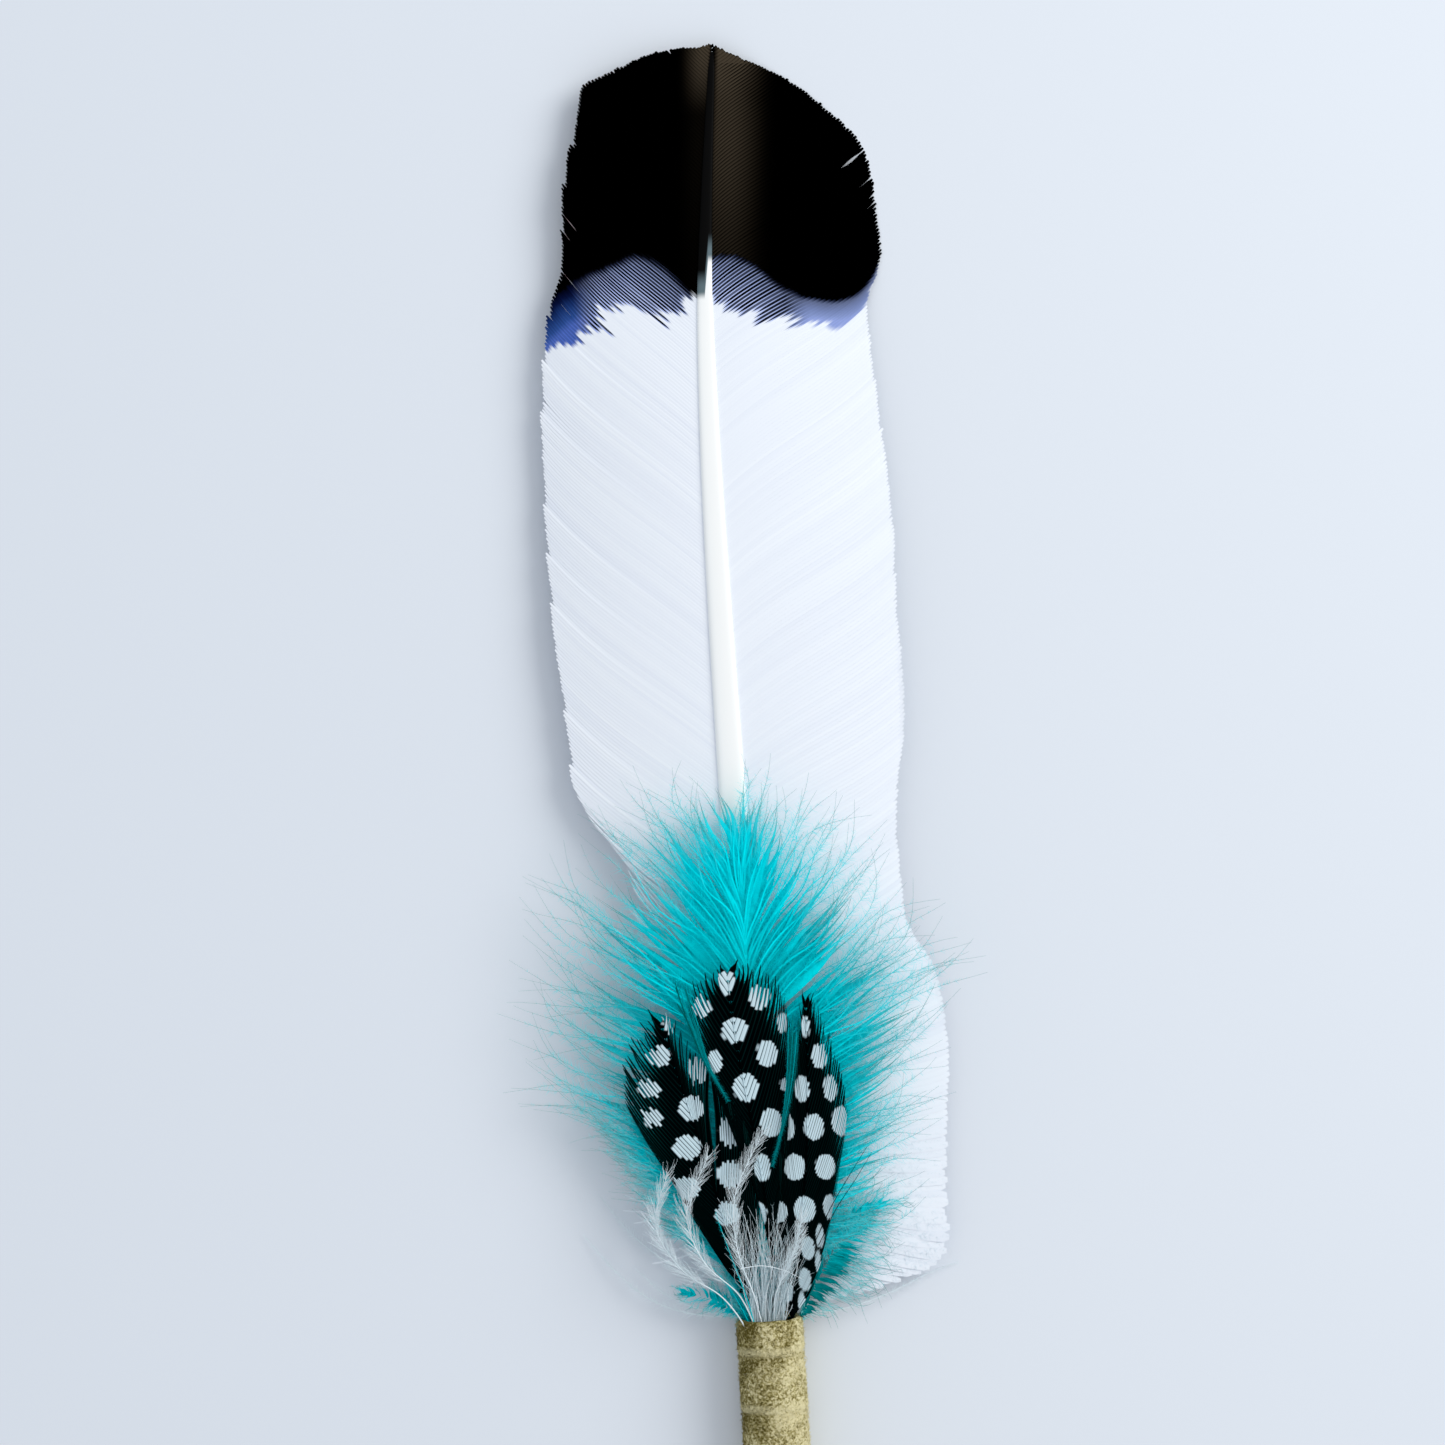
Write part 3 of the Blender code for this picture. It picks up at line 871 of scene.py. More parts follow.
    def vane(self, side: Side) -> tuple[Strands, Array]:
        """One vane's barbs, and how fluffy each is.

        Args:
            side: Which vane.

        Returns:
            The strands, and for each strand and station the reach of its barbules.
        """
        chance = np.random.default_rng(SEED + side.value)
        share, feet, rims = self.foot(side)
        right = side is Side.RIGHT
        leave, arrive = (10.0, 8.0) if right else (2.0, 10.0)
        along = np.linspace(0, 1, self.stations)
        widths = spacing(bowed(feet, rims, self.stations, leave, arrive)) * self.overlap

        loose = 1 - ease(share, *(self.right_loose if right else self.left_loose))
        span = np.linalg.norm(rims - feet, axis=1)
        edge_way = unit(np.gradient(rims, axis=0))
        lock = (share / self.lock_length + 0.25 * np.sin(share * 40)) % 1
        worn = ease(share, 0.2, 0.3) * (1 - ease(share, 0.80, 0.86))
        reach = self.lock_step * (lock - 0.6) * worn * (0.35 if right else 1.0)
        reach += chance.normal(0, 0.1, self.barbs) * (1 - loose)
        reach += loose * (chance.uniform(-0.025 if right else -0.3, 0.015 if right else 0.03, self.barbs) * span)
        drift = chance.uniform(-2, 2, self.barbs) * loose * (0.15 if right else 1.0)
        moved = rims + unit(rims - feet) * reach[:, None] + edge_way * drift[:, None]
        plans = bowed(feet, moved, self.stations, leave, arrive)
        wave = wander(chance, self.barbs, self.stations, 5) * (loose * (0.2 if right else 1.3))[:, None]
        plans = plans + sides_of(plans) * wave[..., None]
        tuft = np.cumsum(chance.random(self.barbs) < 0.12)
        frayed = np.exp(-((rims[:, 1] - 216) / 9) ** 2) if right else 0.35 * worn
        parting = chance.normal(0, 0.3, tuft.max() + 1)[tuft] * (0.25 * (1 - loose) + frayed)
        plans = plans + (parting[:, None] * along**12)[..., None] * edge_way[:, None, :]
        for slit in self.right_slits if right else self.left_slits:
            nearest = np.argmin(np.linalg.norm(rims - slit.rim, axis=1))
            away = np.arange(self.barbs) - nearest - 0.5
            opened = np.clip((along - slit.start) / (slit.end - slit.start), 0, 1)
            push = slit.width / 2 * np.sin(np.pi * opened * (0.75 if slit.end == 1 else 1.0))
            shift = np.sign(away) * np.exp(-np.abs(away) / slit.reach)
            plans = plans + shift[:, None, None] * push[None, :, None] * edge_way[:, None, :]

        x, y = plans[..., 0], plans[..., 1]
        z = ARCH.height(x, y)
        ridge = self.lock_ridge * (lock - 0.5) * worn
        z = z + ridge[:, None] * along**1.5
        z = z + wander(chance, self.barbs, self.stations, 4) * (loose * (0.2 if right else 0.8))[:, None] * along
        thin = 1 - (0.0 if right else 0.85) * loose[:, None] * ease(along, 0.05, 0.4)
        widths = widths * thin * (1 - 0.5 * ease(along, 0.97, 1.0))
        heights = np.full_like(widths, self.thickness) * (1 - 0.4 * along)

        marks = self.dye_marks(side, share, x, y, chance)
        # The tone differs at random from barb to barb; towards the edge it is also painted darker at the low start
        # of each lock and lighter at its raised end, as painted shade at the lock steps.
        marks["tone"] = np.clip(
            0.55 + 0.35 * chance.normal(0, 0.5, self.barbs)[:, None] + 0.5 * ((lock - 0.5) * worn)[:, None] * along,
            -1, 1) + 0 * x
        strands = Strands(raised(plans, z), widths, heights, side.value * self.lean, marks)
        fluffy = loose[:, None] * ease(along, 0.1, 0.3) * (1 - 0.7 * ease(along, 0.8, 1.0))
        return strands, fluffy

    def dye_marks(self, side: Side, share: Array, x: Array, y: Array,
                  chance: Chance) -> dict[str, Array]:
        """Where the dye ends on each barb, and where the painted sheen lies.

        Args:
            side: Which vane.
            share: Shares of the barbs along the shaft.
            x: Across, for each strand and station.
            y: Along, for each strand and station.
            chance: Source of the random draws.

        Returns:
            The marks dye, bleed, deep, lined and sheen.
        """
        right = side is Side.RIGHT
        dye_line, bleed_line = (self.right_dye, self.right_bleed) if right else (self.left_dye, self.left_bleed)
        count = len(share)
        group = np.floor(np.arange(count) / 8 + 0.4 * np.sin(np.arange(count) / 5)).astype(int)
        group_end = chance.normal(0, 1.0, group.max() + 2)[group]
        within = (np.arange(count) / 8) % 1
        jitter = (0.9 * group_end + 2.2 * (within - 0.5) + chance.normal(0, 0.8, count))[:, None]
        jitter = jitter * (1 - 0.6 * ease(x, 16, 22))
        solid = y - smooth(x, *zip(*dye_line)) + 0.12 * jitter
        bleed = y - smooth(x, *zip(*bleed_line)) + jitter
        if right:
            # The stain at the right edge pales faster.
            solid = np.where(solid < 0, solid * (1 + ease(x, 14, 20)), solid)
        deep = 0.45 * ease(x, 12, 18) if right else ease(-x, 20, 26)
        lined = ease(bleed, 0.0, 0.8) * np.clip(chance.normal(0.97, 0.08, count), 0.6, 1)[:, None]
        lined = lined * (1 - 0.9 * ease(x, 14, 19)) * (1 - 0.75 * ease(-x, 22, 27))
        middle = smooth(y, *zip(*((point[1], point[0]) for point in self.shaft)))
        off = np.abs(x - middle) * (1.0 if right else 1.9)
        # The mark sheen is a painted sheen beside the shaft, brightest towards the tip.
        sheen = ease(off, 0.2, 1.6) * (1 - ease(off, 3.5, 14)) ** 2 * (0.35 + 0.65 * ease(y, 198, 226))
        sheen = sheen * ((0.8 + 0.5 * ease(y, 230, 240)) if right else 0.05 + 0.9 * ease(y, 228, 241))
        return {"dye": solid, "bleed": bleed, "deep": deep, "lined": lined, "sheen": sheen}

    def horn(self) -> bpy.types.Mesh:
        """The shaft, from inside the handle to the tip: a round rod, flatter above, that tapers."""
        mesh = bmesh.new()
        bmesh.ops.create_cone(mesh, cap_ends=True, segments=self.shaft_sides, radius1=1, radius2=1, depth=1)
        long_edges = [edge for edge in mesh.edges if abs(edge.verts[0].co.z - edge.verts[1].co.z) > 0.5]
        bmesh.ops.subdivide_edges(mesh, edges=long_edges, cuts=self.shaft_steps)
        line = Line(self.shaft)
        dye, turn = [], []
        inside = -60.0
        for vertex in mesh.verts:
            share = vertex.co.z + 0.5
            y = inside + (240.6 - inside) * share
            part = min(max((y - 8) / 233.5, 0), 1)
            x, along = (0.0, y) if y < 8 else line.at(part)
            radius = self.radii[0] + (self.radii[1] - self.radii[0]) * part**self.taper
            radius *= 1 if share < 1 else 0.5
            middle = float(ARCH.height(0.0, along))
            dye.append(along - (194.0 if vertex.co.x < 0.1 else 201.0))
            turn.append(vertex.co.x)
            flat = 0.36 if vertex.co.y > 0 else 0.95
            across, up = (math.copysign(abs(value) ** 0.7, value) for value in (vertex.co.x, vertex.co.y))
            vertex.co = Vector(placed(np.array([x + radius * across, along, middle + radius * flat * up])))
        bmesh.ops.recalc_face_normals(mesh, faces=mesh.faces)
        data = bpy.data.meshes.new("main_shaft")
        mesh.to_mesh(data)
        mesh.free()
        for name, values in (("dye", dye), ("turn", turn)):
            data.attributes.new(name, "FLOAT", "POINT").data.foreach_set("value", values)
        data.shade_smooth()
        return data

    def build(self) -> None:
        """Builds and dresses the feather's pieces."""
        finish = DyedVane().material()
        down = WhiteDown().material()
        for side in Side:
            strands, fluffy = self.vane(side)
            label = side.name.lower()
            new_piece(f"main_vane_{label}", strands.mesh(), finish, "white_feather", "main_feather")
            chance = np.random.default_rng(SEED + 20 + side.value)
            fluff = Fluff(count=5000, length=2.6, width=0.045).mesh(strands, chance, fluffy)
            new_piece(f"main_base_fluff_{label}", fluff, down, "white_feather", "main_feather")
        strands = stray_strands(self.strays, {"tone": 0.8})
        new_piece("main_strays", strands.mesh(), down, "white_feather", "main_feather")
        thinner = 1 - 0.8 * ease(np.linspace(0, 1, STRAY_STATIONS), 0.5, 1)
        reach = np.broadcast_to(thinner, strands.widths.shape)
        fluff = Fluff(count=2400, length=2.2, width=0.035).mesh(strands, chance, reach)
        new_piece("main_stray_fluff", fluff, down, "white_feather", "main_feather")
        new_piece("main_shaft", self.horn(), HornShaft().material(), "white_feather", "main_feather")


@dataclass
class Plume:
    """A turquoise plume: a dense middle of soft strands whose fine ends stand clear all round."""

    name: str
    shaft: Points
    left_edge: Points
    right_edge: Points
    layer: Layer
    strands: int
    stations: int
    core: float
    core_width: float
    barbules: int
    shaft_part: float = 0.78
    low: float = 1.3
    sweep: float = 0.78
    depth: float = 0.9
    curl: float = 3.4
    # Length of the barbules, and how much painted shade darkens the plume's foot by the handle's mouth.
    barbule: float = 3.0
    foot_shade: float = 0.4
    part: str = ""
    strays: tuple[Stray, ...] = ()
    seed: int = 0

    def fan(self, side: Side, chance: Chance) -> tuple[Strands, Array]:
        """One side's strands, and the reach of their barbules.

        Args:
            side: Which side of the plume's shaft.
            chance: Source of the random draws.

        Returns:
            The strands, and for each strand and station the reach of its barbules.
        """
        count, stations = self.strands, self.stations
        share = np.sort(chance.uniform(0.0, 1.0, count) ** self.low)
        feet = Line(self.shaft).at(share * self.shaft_part)
        edge = Line(self.right_edge if side is Side.RIGHT else self.left_edge)
        rims = edge.at(share**self.sweep)
        bed = chance.random(count) < 0.42
        stretch = np.where(bed, chance.uniform(0.5, 0.82, count), 1.03 - 0.4 * chance.random(count) ** 1.2)
        rims = feet + (rims - feet) * stretch[:, None]
        leave = chance.uniform(4, 26, count)
        arrive = chance.uniform(-16, 22, count)
        plans = bowed(feet, rims, stations, leave, arrive)
        along = np.linspace(0, 1, stations)
        size = np.linalg.norm(rims - feet, axis=1)
        sway = wander(chance, count, stations, 4) * (self.curl * size / 40)[:, None] * along**1.3
        hook = chance.normal(0, 0.06, count)[:, None] * size[:, None] * along**5
        plans = plans + sides_of(plans) * np.where(bed[:, None], 0.5 * sway, sway + hook)[..., None]
        y = plans[..., 1]
        level = np.where(bed, chance.uniform(-1, -0.4, count), chance.uniform(-0.5, 1, count))[:, None]
        z = self.layer.over(plans) + self.depth * level * ease(along, 0, 0.3)
        z = z + self.depth * wander(chance, count, stations, 3) * along * np.where(bed, 0.2, 0.8)[:, None]
        core = self.core * np.where(bed, 1.25, 1.0)[:, None]
        fine = ease(along[None, :] / core, 0.5, 1.5)
        wide = self.core_width * np.where(bed, chance.uniform(1.5, 2.6, count), chance.uniform(0.2, 0.5, count))
        widths = wide[:, None] * (1 - fine) + 0.085 * fine
        widths = widths * (1 - 0.6 * ease(along, 0.75, 1.0))
        widths = widths * (0.35 + 0.65 * ease(along, 0.0, 0.12))
        heights = np.clip(widths * 0.08, 0.04, 0.14)
        # The streaks differ at random, and lower strands are a little darker, as painted shade under the ones
        # above.
        streak = 0.25 * chance.normal(0, 1, count)[:, None] + 0.12 * level
        tone = np.clip(0.22 + 0.68 * ease(y, 64, 90) + streak + 0.2 * wander(chance, count, stations, 5), -1, 1)
        # Painted shade: the tone darkens towards the foot, where the strands crowd into the handle's mouth under
        # the other feathers.
        shade = 1 - self.foot_shade * (1 - ease(y, 2, 20))
        tone = tone * shade - (1 - shade)
        airy = 0.8 * ease(along[None, :] / core, 1.0, 1.7)
        marks = {"tone": tone, "airy": airy, "along": fine * ease(along, 0.5, 0.95)}
        strands = Strands(raised(plans, z), widths, heights, 0.0, marks)
        reach = ease(along, 0.0, 0.2) * (1 - ease(along, 0.68, 1.0)) * np.where(bed, 0.8, 1.0)[:, None]
        return strands, reach

    def build(self, finish: bpy.types.Material) -> None:
        """Builds and dresses the plume: strands and barbules by side, and stray hairs with their fluff."""
        for side in Side:
            chance = np.random.default_rng(SEED + 40 + self.seed + side.value)
            strands, reach = self.fan(side, chance)
            label = side.name.lower()
            name = f"{self.name}{self.part}_strands_{label}"
            new_piece(name, strands.mesh(), finish, "turquoise_marabou", self.name)
            # The barbules are painted a step lighter than their strands, as painted light through the thin fibres.
            strands.marks["tone"] = np.clip(strands.marks["tone"] + 0.3, -1, 1)
            strands.marks["along"] = strands.marks["along"] * 0
            fluff = Fluff(self.barbules, length=self.barbule, width=0.05, angle=(18, 80), rise=0.25)
            name = f"{self.name}{self.part}_barbules_{label}"
            new_piece(name, fluff.mesh(strands, chance, reach), finish, "turquoise_marabou", self.name)
        if self.strays:
            strands = stray_strands(self.strays, {"tone": 0.0, "airy": 0.0, "along": 0.4})
            new_piece(f"{self.name}_strays", strands.mesh(), finish, "turquoise_marabou", self.name)
            reach = np.ones(strands.widths.shape)
            fluff = Fluff(120 * len(self.strays), length=0.9, width=0.04).mesh(strands, chance, reach)
            new_piece(f"{self.name}_strays_fluff", fluff, finish, "turquoise_marabou", self.name)


@dataclass(frozen=True)
class Dot:
    """A pale dot on a guinea fowl feather: its middle, and its half width and half height."""

    x: float
    y: float
    across: float = 2.2
    along: float = 2.5


@dataclass
class GuineaFeather:
    """A spotted feather of fine parallel barbs whose ends fray."""

    name: str
    shaft: Points
    left_edge: Points
    right_edge: Points
    layer: Layer
    dots: tuple[Dot, ...]
    barbs: int = 48
    stations: int = 36
    sweep: float = 0.31
    fray: float = 1.6
    # Share of a barb beyond which it narrows and stands apart.
    open_from: float = 0.5
    quill: tuple[float, float] = (0.34, 0.1)
    ragged: float = 0.2
    strays: tuple[Stray, ...] = ()
    seed: int = 0

    def spots(self, plans: Array) -> Array:
        """How far points in plan lie inside a dot, in millimetres, and less than 0 outside all dots."""
        inside = np.full(plans.shape[:-1], NO_SPOT)
        for dot in self.dots:
            away = np.hypot((plans[..., 0] - dot.x) / dot.across, (plans[..., 1] - dot.y) / dot.along)
            inside = np.maximum(inside, (1 - away) * min(dot.across, dot.along))
        return inside

    def vane(self, side: Side, chance: Chance) -> Strands:
        """One side's barbs, marked with the dots.

        Args:
            side: Which side of the shaft.
            chance: Source of the random draws.

        Returns:
            The strands.
        """
        count, stations = self.barbs, self.stations
        share = np.linspace(0, 1, count) ** 1.6
        edge = Line(self.right_edge if side is Side.RIGHT else self.left_edge)
        feet = Line(self.shaft).at(share**1.12 * 0.97)
        rims = edge.at(share**self.sweep)
        widths = np.minimum(spacing(bowed(feet, rims, stations, -4.0, 9.0)) * 1.3, 1.2)
        outward = (rims - feet) / np.maximum(np.linalg.norm(rims - feet, axis=1, keepdims=True), 0.5)
        frayed = ease(share, 0.35, 0.75)
        reach = chance.uniform(-0.6, 1.0, count) * self.fray * (0.25 + 0.75 * frayed)
        rims = rims + outward * reach[:, None]
        plans = bowed(feet, rims, stations, -4.0, 9.0)
        along = np.linspace(0, 1, stations)
        sway = wander(chance, count, stations, 3) * (0.4 * frayed + 0.08)[:, None] * along**3
        plans = plans + sides_of(plans) * sway[..., None]
        z = self.layer.over(plans) + 0.1 * chance.normal(0, 1, count)[:, None] * along
        open_out = ease(along, self.open_from, 0.9)[None, :] * (0.5 + 0.5 * frayed[:, None])
        widths = widths * (1 - 0.7 * open_out) * (1 - 0.6 * ease(along, 0.95, 1.0))
        heights = np.full_like(widths, 0.1) * (1 - 0.5 * along)
        slip = chance.normal(0, 1, count)[:, None] * self.ragged * (0.5 + 1.6 * open_out)
        spot = self.spots(plans + unit(np.gradient(plans, axis=1)) * slip[..., None])
        marks = {"spot": spot, "thin": np.clip(0.15 + 0.85 * open_out, 0, 1)}
        return Strands(raised(plans, z), widths, heights, side.value * 0.04, marks)

    def rachis(self) -> Strands:
        """The feather's thin dark shaft, from inside the handle to its tip."""
        share = np.linspace(0, 0.97, 24)
        plan = Line(self.shaft).at(share)
        start = np.array([[plan[0, 0] * 0.55, -12.0], [plan[0, 0] * 0.6, 0.0]])
        plan = np.concatenate([start, plan])[None]
        z = self.layer.over(plan) + 0.08
        share = np.linspace(0, 1, plan.shape[1])
        radius = smooth(share, (0, 0.35, 1), (self.quill[0], 0.3, self.quill[1]))[None]
        marks = {"spot": self.spots(plan), "thin": np.zeros_like(radius)}
        return Strands(raised(plan, z), 1.5 * radius, 1.2 * radius, 0.0, marks)

    def build(self, finish: bpy.types.Material) -> None:
        """Builds and dresses the feather's two sides and its shaft."""
        for side in Side:
            chance = np.random.default_rng(SEED + 80 + self.seed + side.value)
            name = f"{self.name}_vane_{side.name.lower()}"
            new_piece(name, self.vane(side, chance).mesh(), finish, "guinea_feather", self.name)
        new_piece(f"{self.name}_shaft", self.rachis().mesh(), finish, "guinea_feather", self.name)
        if self.strays:
            strands = stray_strands(self.strays, {"spot": NO_SPOT, "thin": 0.2})
            new_piece(f"{self.name}_strays", strands.mesh(), finish, "guinea_feather", self.name)


def downy_piece(name: str, node: str, strands: Strands, fluff: Fluff, reach: Array,
                chance: Chance, finish: bpy.types.Material) -> None:
    """Adds white downy barbs and their barbules.

    Args:
        name: Start of the pieces' names.
        node: The CAD node that they stand for.
        strands: The barbs.
        fluff: Their barbules.
        reach: Length of the barbules at each barb and station, as a share of the longest.
        chance: Source of the random draws.
        finish: The material.
    """
    new_piece(f"{name}_barbs", strands.mesh(), finish, "white_down", node)
    new_piece(f"{name}_barbules", fluff.mesh(strands, chance, reach), finish, "white_down", node)


@dataclass
class DownTuft:
    """Downy barbs packed in the handle's mouth, which spread out over the feathers' feet."""

    node: str
    foot: tuple[float, float]
    rim: Points
    layer: Layer
    hairs: int = 190
    stations: int = 14

    def build(self, finish: bpy.types.Material) -> None:
        """Builds and dresses the tuft."""
        chance = np.random.default_rng(SEED + 160)
        share = chance.random(self.hairs)
        left, right = self.foot
        feet = np.stack([left + (right - left) * share, np.full(self.hairs, -2.5)], axis=1)
        rims = feet + (Line(self.rim).at(share) - feet) * chance.uniform(0.45, 1, self.hairs)[:, None]
        plans = bowed(feet, rims, self.stations, 0.0, 0.0)
        along = np.linspace(0, 1, self.stations)
        bend = chance.normal(0, 1.6, self.hairs)[:, None] * along**2.5
        sway = wander(chance, self.hairs, self.stations, 4) * 1.6 * along
        plans = plans + sides_of(plans) * (sway + bend)[..., None]
        z = self.layer.over(plans) + wander(chance, self.hairs, self.stations, 3) * 0.9
        widths = np.broadcast_to(0.11 * (1 - 0.6 * along), z.shape)
        marks = {"tone": np.clip(0.2 + 0.7 * chance.normal(0, 1, self.hairs), -1, 1)[:, None] + 0 * z}
        strands = Strands(raised(plans, z), widths, widths * 0.8, 0.0, marks)
        reach = np.broadcast_to(1 - 0.3 * along, z.shape)
        fluff = Fluff(count=3500, length=1.2, width=0.025, angle=(15, 50), rise=0.3)
        downy_piece(f"{self.node}_tuft", self.node, strands, fluff, reach, chance, finish)


@dataclass
class DownPlume:
    """A thin white plume: a curving shaft with fine barbs on both sides, each with barbules."""

    name: str
    shaft: Points
    layer: Layer = Layer(5.85, 8.4)
    hairs: int = 230
    stations: int = 9
    length: float = 4.4
    seed: int = 0
    bare: float = 0.12
    strays: tuple[Stray, ...] = ()

    def build(self, finish: bpy.types.Material) -> None:
        """Builds and dresses the plume."""
        chance = np.random.default_rng(SEED + 120 + self.seed)
        line = Line(self.shaft)
        start = self.shaft[0][0]
        base = Line(((start * 0.3, -8.0), (start * 0.6, 0.0), *self.shaft)).at(np.linspace(0, 1, 44))[None]
        widths = np.linspace(0.3, 0.1, base.shape[1])[None]
        marks = {"tone": np.full_like(widths, 0.9)}
        shaft = Strands(raised(base, self.layer.over(base)), widths, widths * 0.8, 0.0, marks)
        new_piece(f"{self.name}_shaft", shaft.mesh(), finish, "white_down", self.name)
        if self.strays:
            strands = stray_strands(self.strays, {"tone": 0.8})
            new_piece(f"{self.name}_strays", strands.mesh(), finish, "white_down", self.name)

        share = np.sort(chance.uniform(self.bare, 1, self.hairs))
        feet = line.at(share)
        ahead = unit(line.at(np.minimum(share + 0.02, 1)) - line.at(share - 0.02))
        turn = np.radians(chance.uniform(14, 36, self.hairs)) * chance.choice((-1, 1), self.hairs)
        size = self.length * chance.uniform(0.5, 1, self.hairs) * (1 - 0.4 * ease(share, 0.6, 1))
        along = np.linspace(0, 1, self.stations)
        plans = feet[:, None] + (rotated(ahead, turn) * size[:, None])[:, None] * along[None, :, None]
        plans = plans + ahead[:, None] * (0.3 * size[:, None] * along**2)[..., None]
        sway = wander(chance, self.hairs, self.stations, 3) * 0.3
        plans = plans + sides_of(plans) * (sway * along)[..., None]
        z = self.layer.over(plans) + wander(chance, self.hairs, self.stations, 2) * 0.4
        widths = np.broadcast_to(0.06 * (1 - 0.5 * along), z.shape)
        marks = {"tone": np.clip(0.8 + 0.3 * chance.normal(0, 1, self.hairs), -1, 1)[:, None] + 0 * z}
        strands = Strands(raised(plans, z), widths, widths * 0.8, 0.0, marks)
        fluff = Fluff(count=1500, length=0.6, width=0.02, angle=(15, 45), rise=0.2)
        reach = np.broadcast_to(1 - 0.5 * along, z.shape)
        downy_piece(self.name, self.name, strands, fluff, reach, chance, finish)


@dataclass
class SuedeWrap:
    """The handle: one strip of suede wound round the quills, its lap showing as a step each turn."""

    length: float = 80.0
    radius: float = 6.0
    centre_z: float = 5.8
    pitch: float = 10.8
    first_lap: float = 0.608
    step: float = 0.35
    lap: Points = ((0, 0), (0.06, 1), (0.5, 0.8), (1, 0))
    bore: float = 5.0
    mouth_depth: float = 1.6
    rounding: float = 1.5
    segments: int = 110
    rows: int = 220
    nap: float = 0.2
    fibres: int = 12000

    def skin(self) -> bpy.types.Mesh:
        """The strip's skin as a closed tube, with the nap raised on its outside."""
        mesh = bmesh.new()
        chart = mesh.loops.layers.uv.new(UV_NAME)
        bmesh.ops.create_grid(mesh, x_segments=self.segments, y_segments=self.rows, size=0.5)
        # The rows run from the middle of the closed end, up the outside, over the mouth and into it.
        end, wall, lip = 0.06, 0.86, 0.90
        for face in mesh.faces:
            for loop in face.loops:
                loop[chart].uv = (loop.vert.co.x + 0.5, loop.vert.co.y + 0.5)
        seams = mesh.verts.layers.float.new("seam")
        for vertex in mesh.verts:
            turn = (vertex.co.x + 0.5) * math.tau
            row = vertex.co.y + 0.5
            start = -self.length
            if row < end:
                angle = row / end * math.pi / 2
                y = start + self.rounding * (1 - math.sin(angle))
                reach = self.radius * math.sin(angle) ** 0.7
            elif row < wall:
                y = start + self.rounding + (self.length - self.rounding) * (row - end) / (wall - end)
                reach = self.radius
            elif row < lip:
                y = 0.25 * math.sin((row - wall) / (lip - wall) * math.pi)
                reach = self.radius + (self.bore - self.radius) * (row - wall) / (lip - wall)
            else:
                inner = (row - lip) / (1 - lip)
                y = -self.mouth_depth * min(inner * 1.25, 1)
                reach = self.bore * (1 if inner < 0.8 else (1 - inner) / 0.2)
            # The laps lie level on the upper side, and the strip moves on to the next turn underneath.
            wavy = 0.035 * noise.noise(Vector((math.cos(turn) * 1.5, y * 0.1, math.sin(turn) * 1.5)))
            phase = (y / self.pitch + self.first_lap + wavy - float(ease(turn / math.tau, 0.55, 0.95))) % 1
            outside = float(ease(row, 0.0, end) * (1 - ease(row, wall - 0.005, lip)))
            lift = float(np.interp(phase, *zip(*self.lap)))
            place = Vector((math.cos(turn) * self.radius, y, math.sin(turn) * self.radius))
            rough = noise.fractal(place * 1.7, 0.6, 2.1, 3) + 0.5 * noise.noise(place * 0.35)
            ragged = 0.25 * noise.noise(Vector((math.cos(turn) * 2.4, 7.0, math.sin(turn) * 2.4)))
            reach += outside * (self.step * lift + self.nap * rough)
            if row > wall - 0.02:
                y += ragged * float(ease(row, wall - 0.02, wall))
            seam = float(ease(phase, 0.0, 0.05) * (1 - ease(phase, 0.12, 0.2)))
            vertex[seams] = outside * seam * 0.55
            vertex.co = Vector(placed(np.array([
                reach * math.cos(turn), y, max(self.centre_z + reach * math.sin(turn), 0.0)])))
        bmesh.ops.remove_doubles(mesh, verts=mesh.verts, dist=0.002 * MM)
        bmesh.ops.recalc_face_normals(mesh, faces=mesh.faces)
        data = bpy.data.meshes.new("suede_skin")
        mesh.to_mesh(data)
        mesh.free()
        data.shade_smooth()
        return data

    def fibre_mesh(self) -> bpy.types.Mesh:
        """Short loose fibres of the nap, lying over the skin."""
        chance = np.random.default_rng(SEED + 200)
        turn = chance.uniform(-0.35 * math.pi, 1.35 * math.pi, self.fibres)
        y = chance.uniform(-self.length + 2, 0.2, self.fibres)
        radius = self.radius + 0.22 + chance.uniform(-0.1, 0.12, self.fibres)
        root = np.stack([radius * np.cos(turn), y, self.centre_z + radius * np.sin(turn)], axis=1)
        out = np.stack([np.cos(turn), 0 * turn, np.sin(turn)], axis=1)
        round_about = np.stack([-np.sin(turn), 0 * turn, np.cos(turn)], axis=1)
        lay = chance.uniform(0, math.tau, self.fibres)[:, None]
        heading = round_about * np.cos(lay) + np.array([[0, 1.0, 0]]) * np.sin(lay)
        size = chance.uniform(0.3, 0.9, self.fibres)[:, None]
        end = root + size * (heading + out * chance.uniform(0.05, 0.8, self.fibres)[:, None])
        width = 0.12 * chance.uniform(0.6, 1.3, self.fibres)
        return sliver_mesh(root, end, width, {"seam": 0.6 * chance.random(self.fibres) ** 3})

    def build(self) -> None:
        """Builds and dresses the handle."""
        finish = NappedSuede().material()
        new_piece("suede_skin", self.skin(), finish, "tan_suede", "suede_wrap")
        new_piece("suede_nap", self.fibre_mesh(), finish, "tan_suede", "suede_wrap")


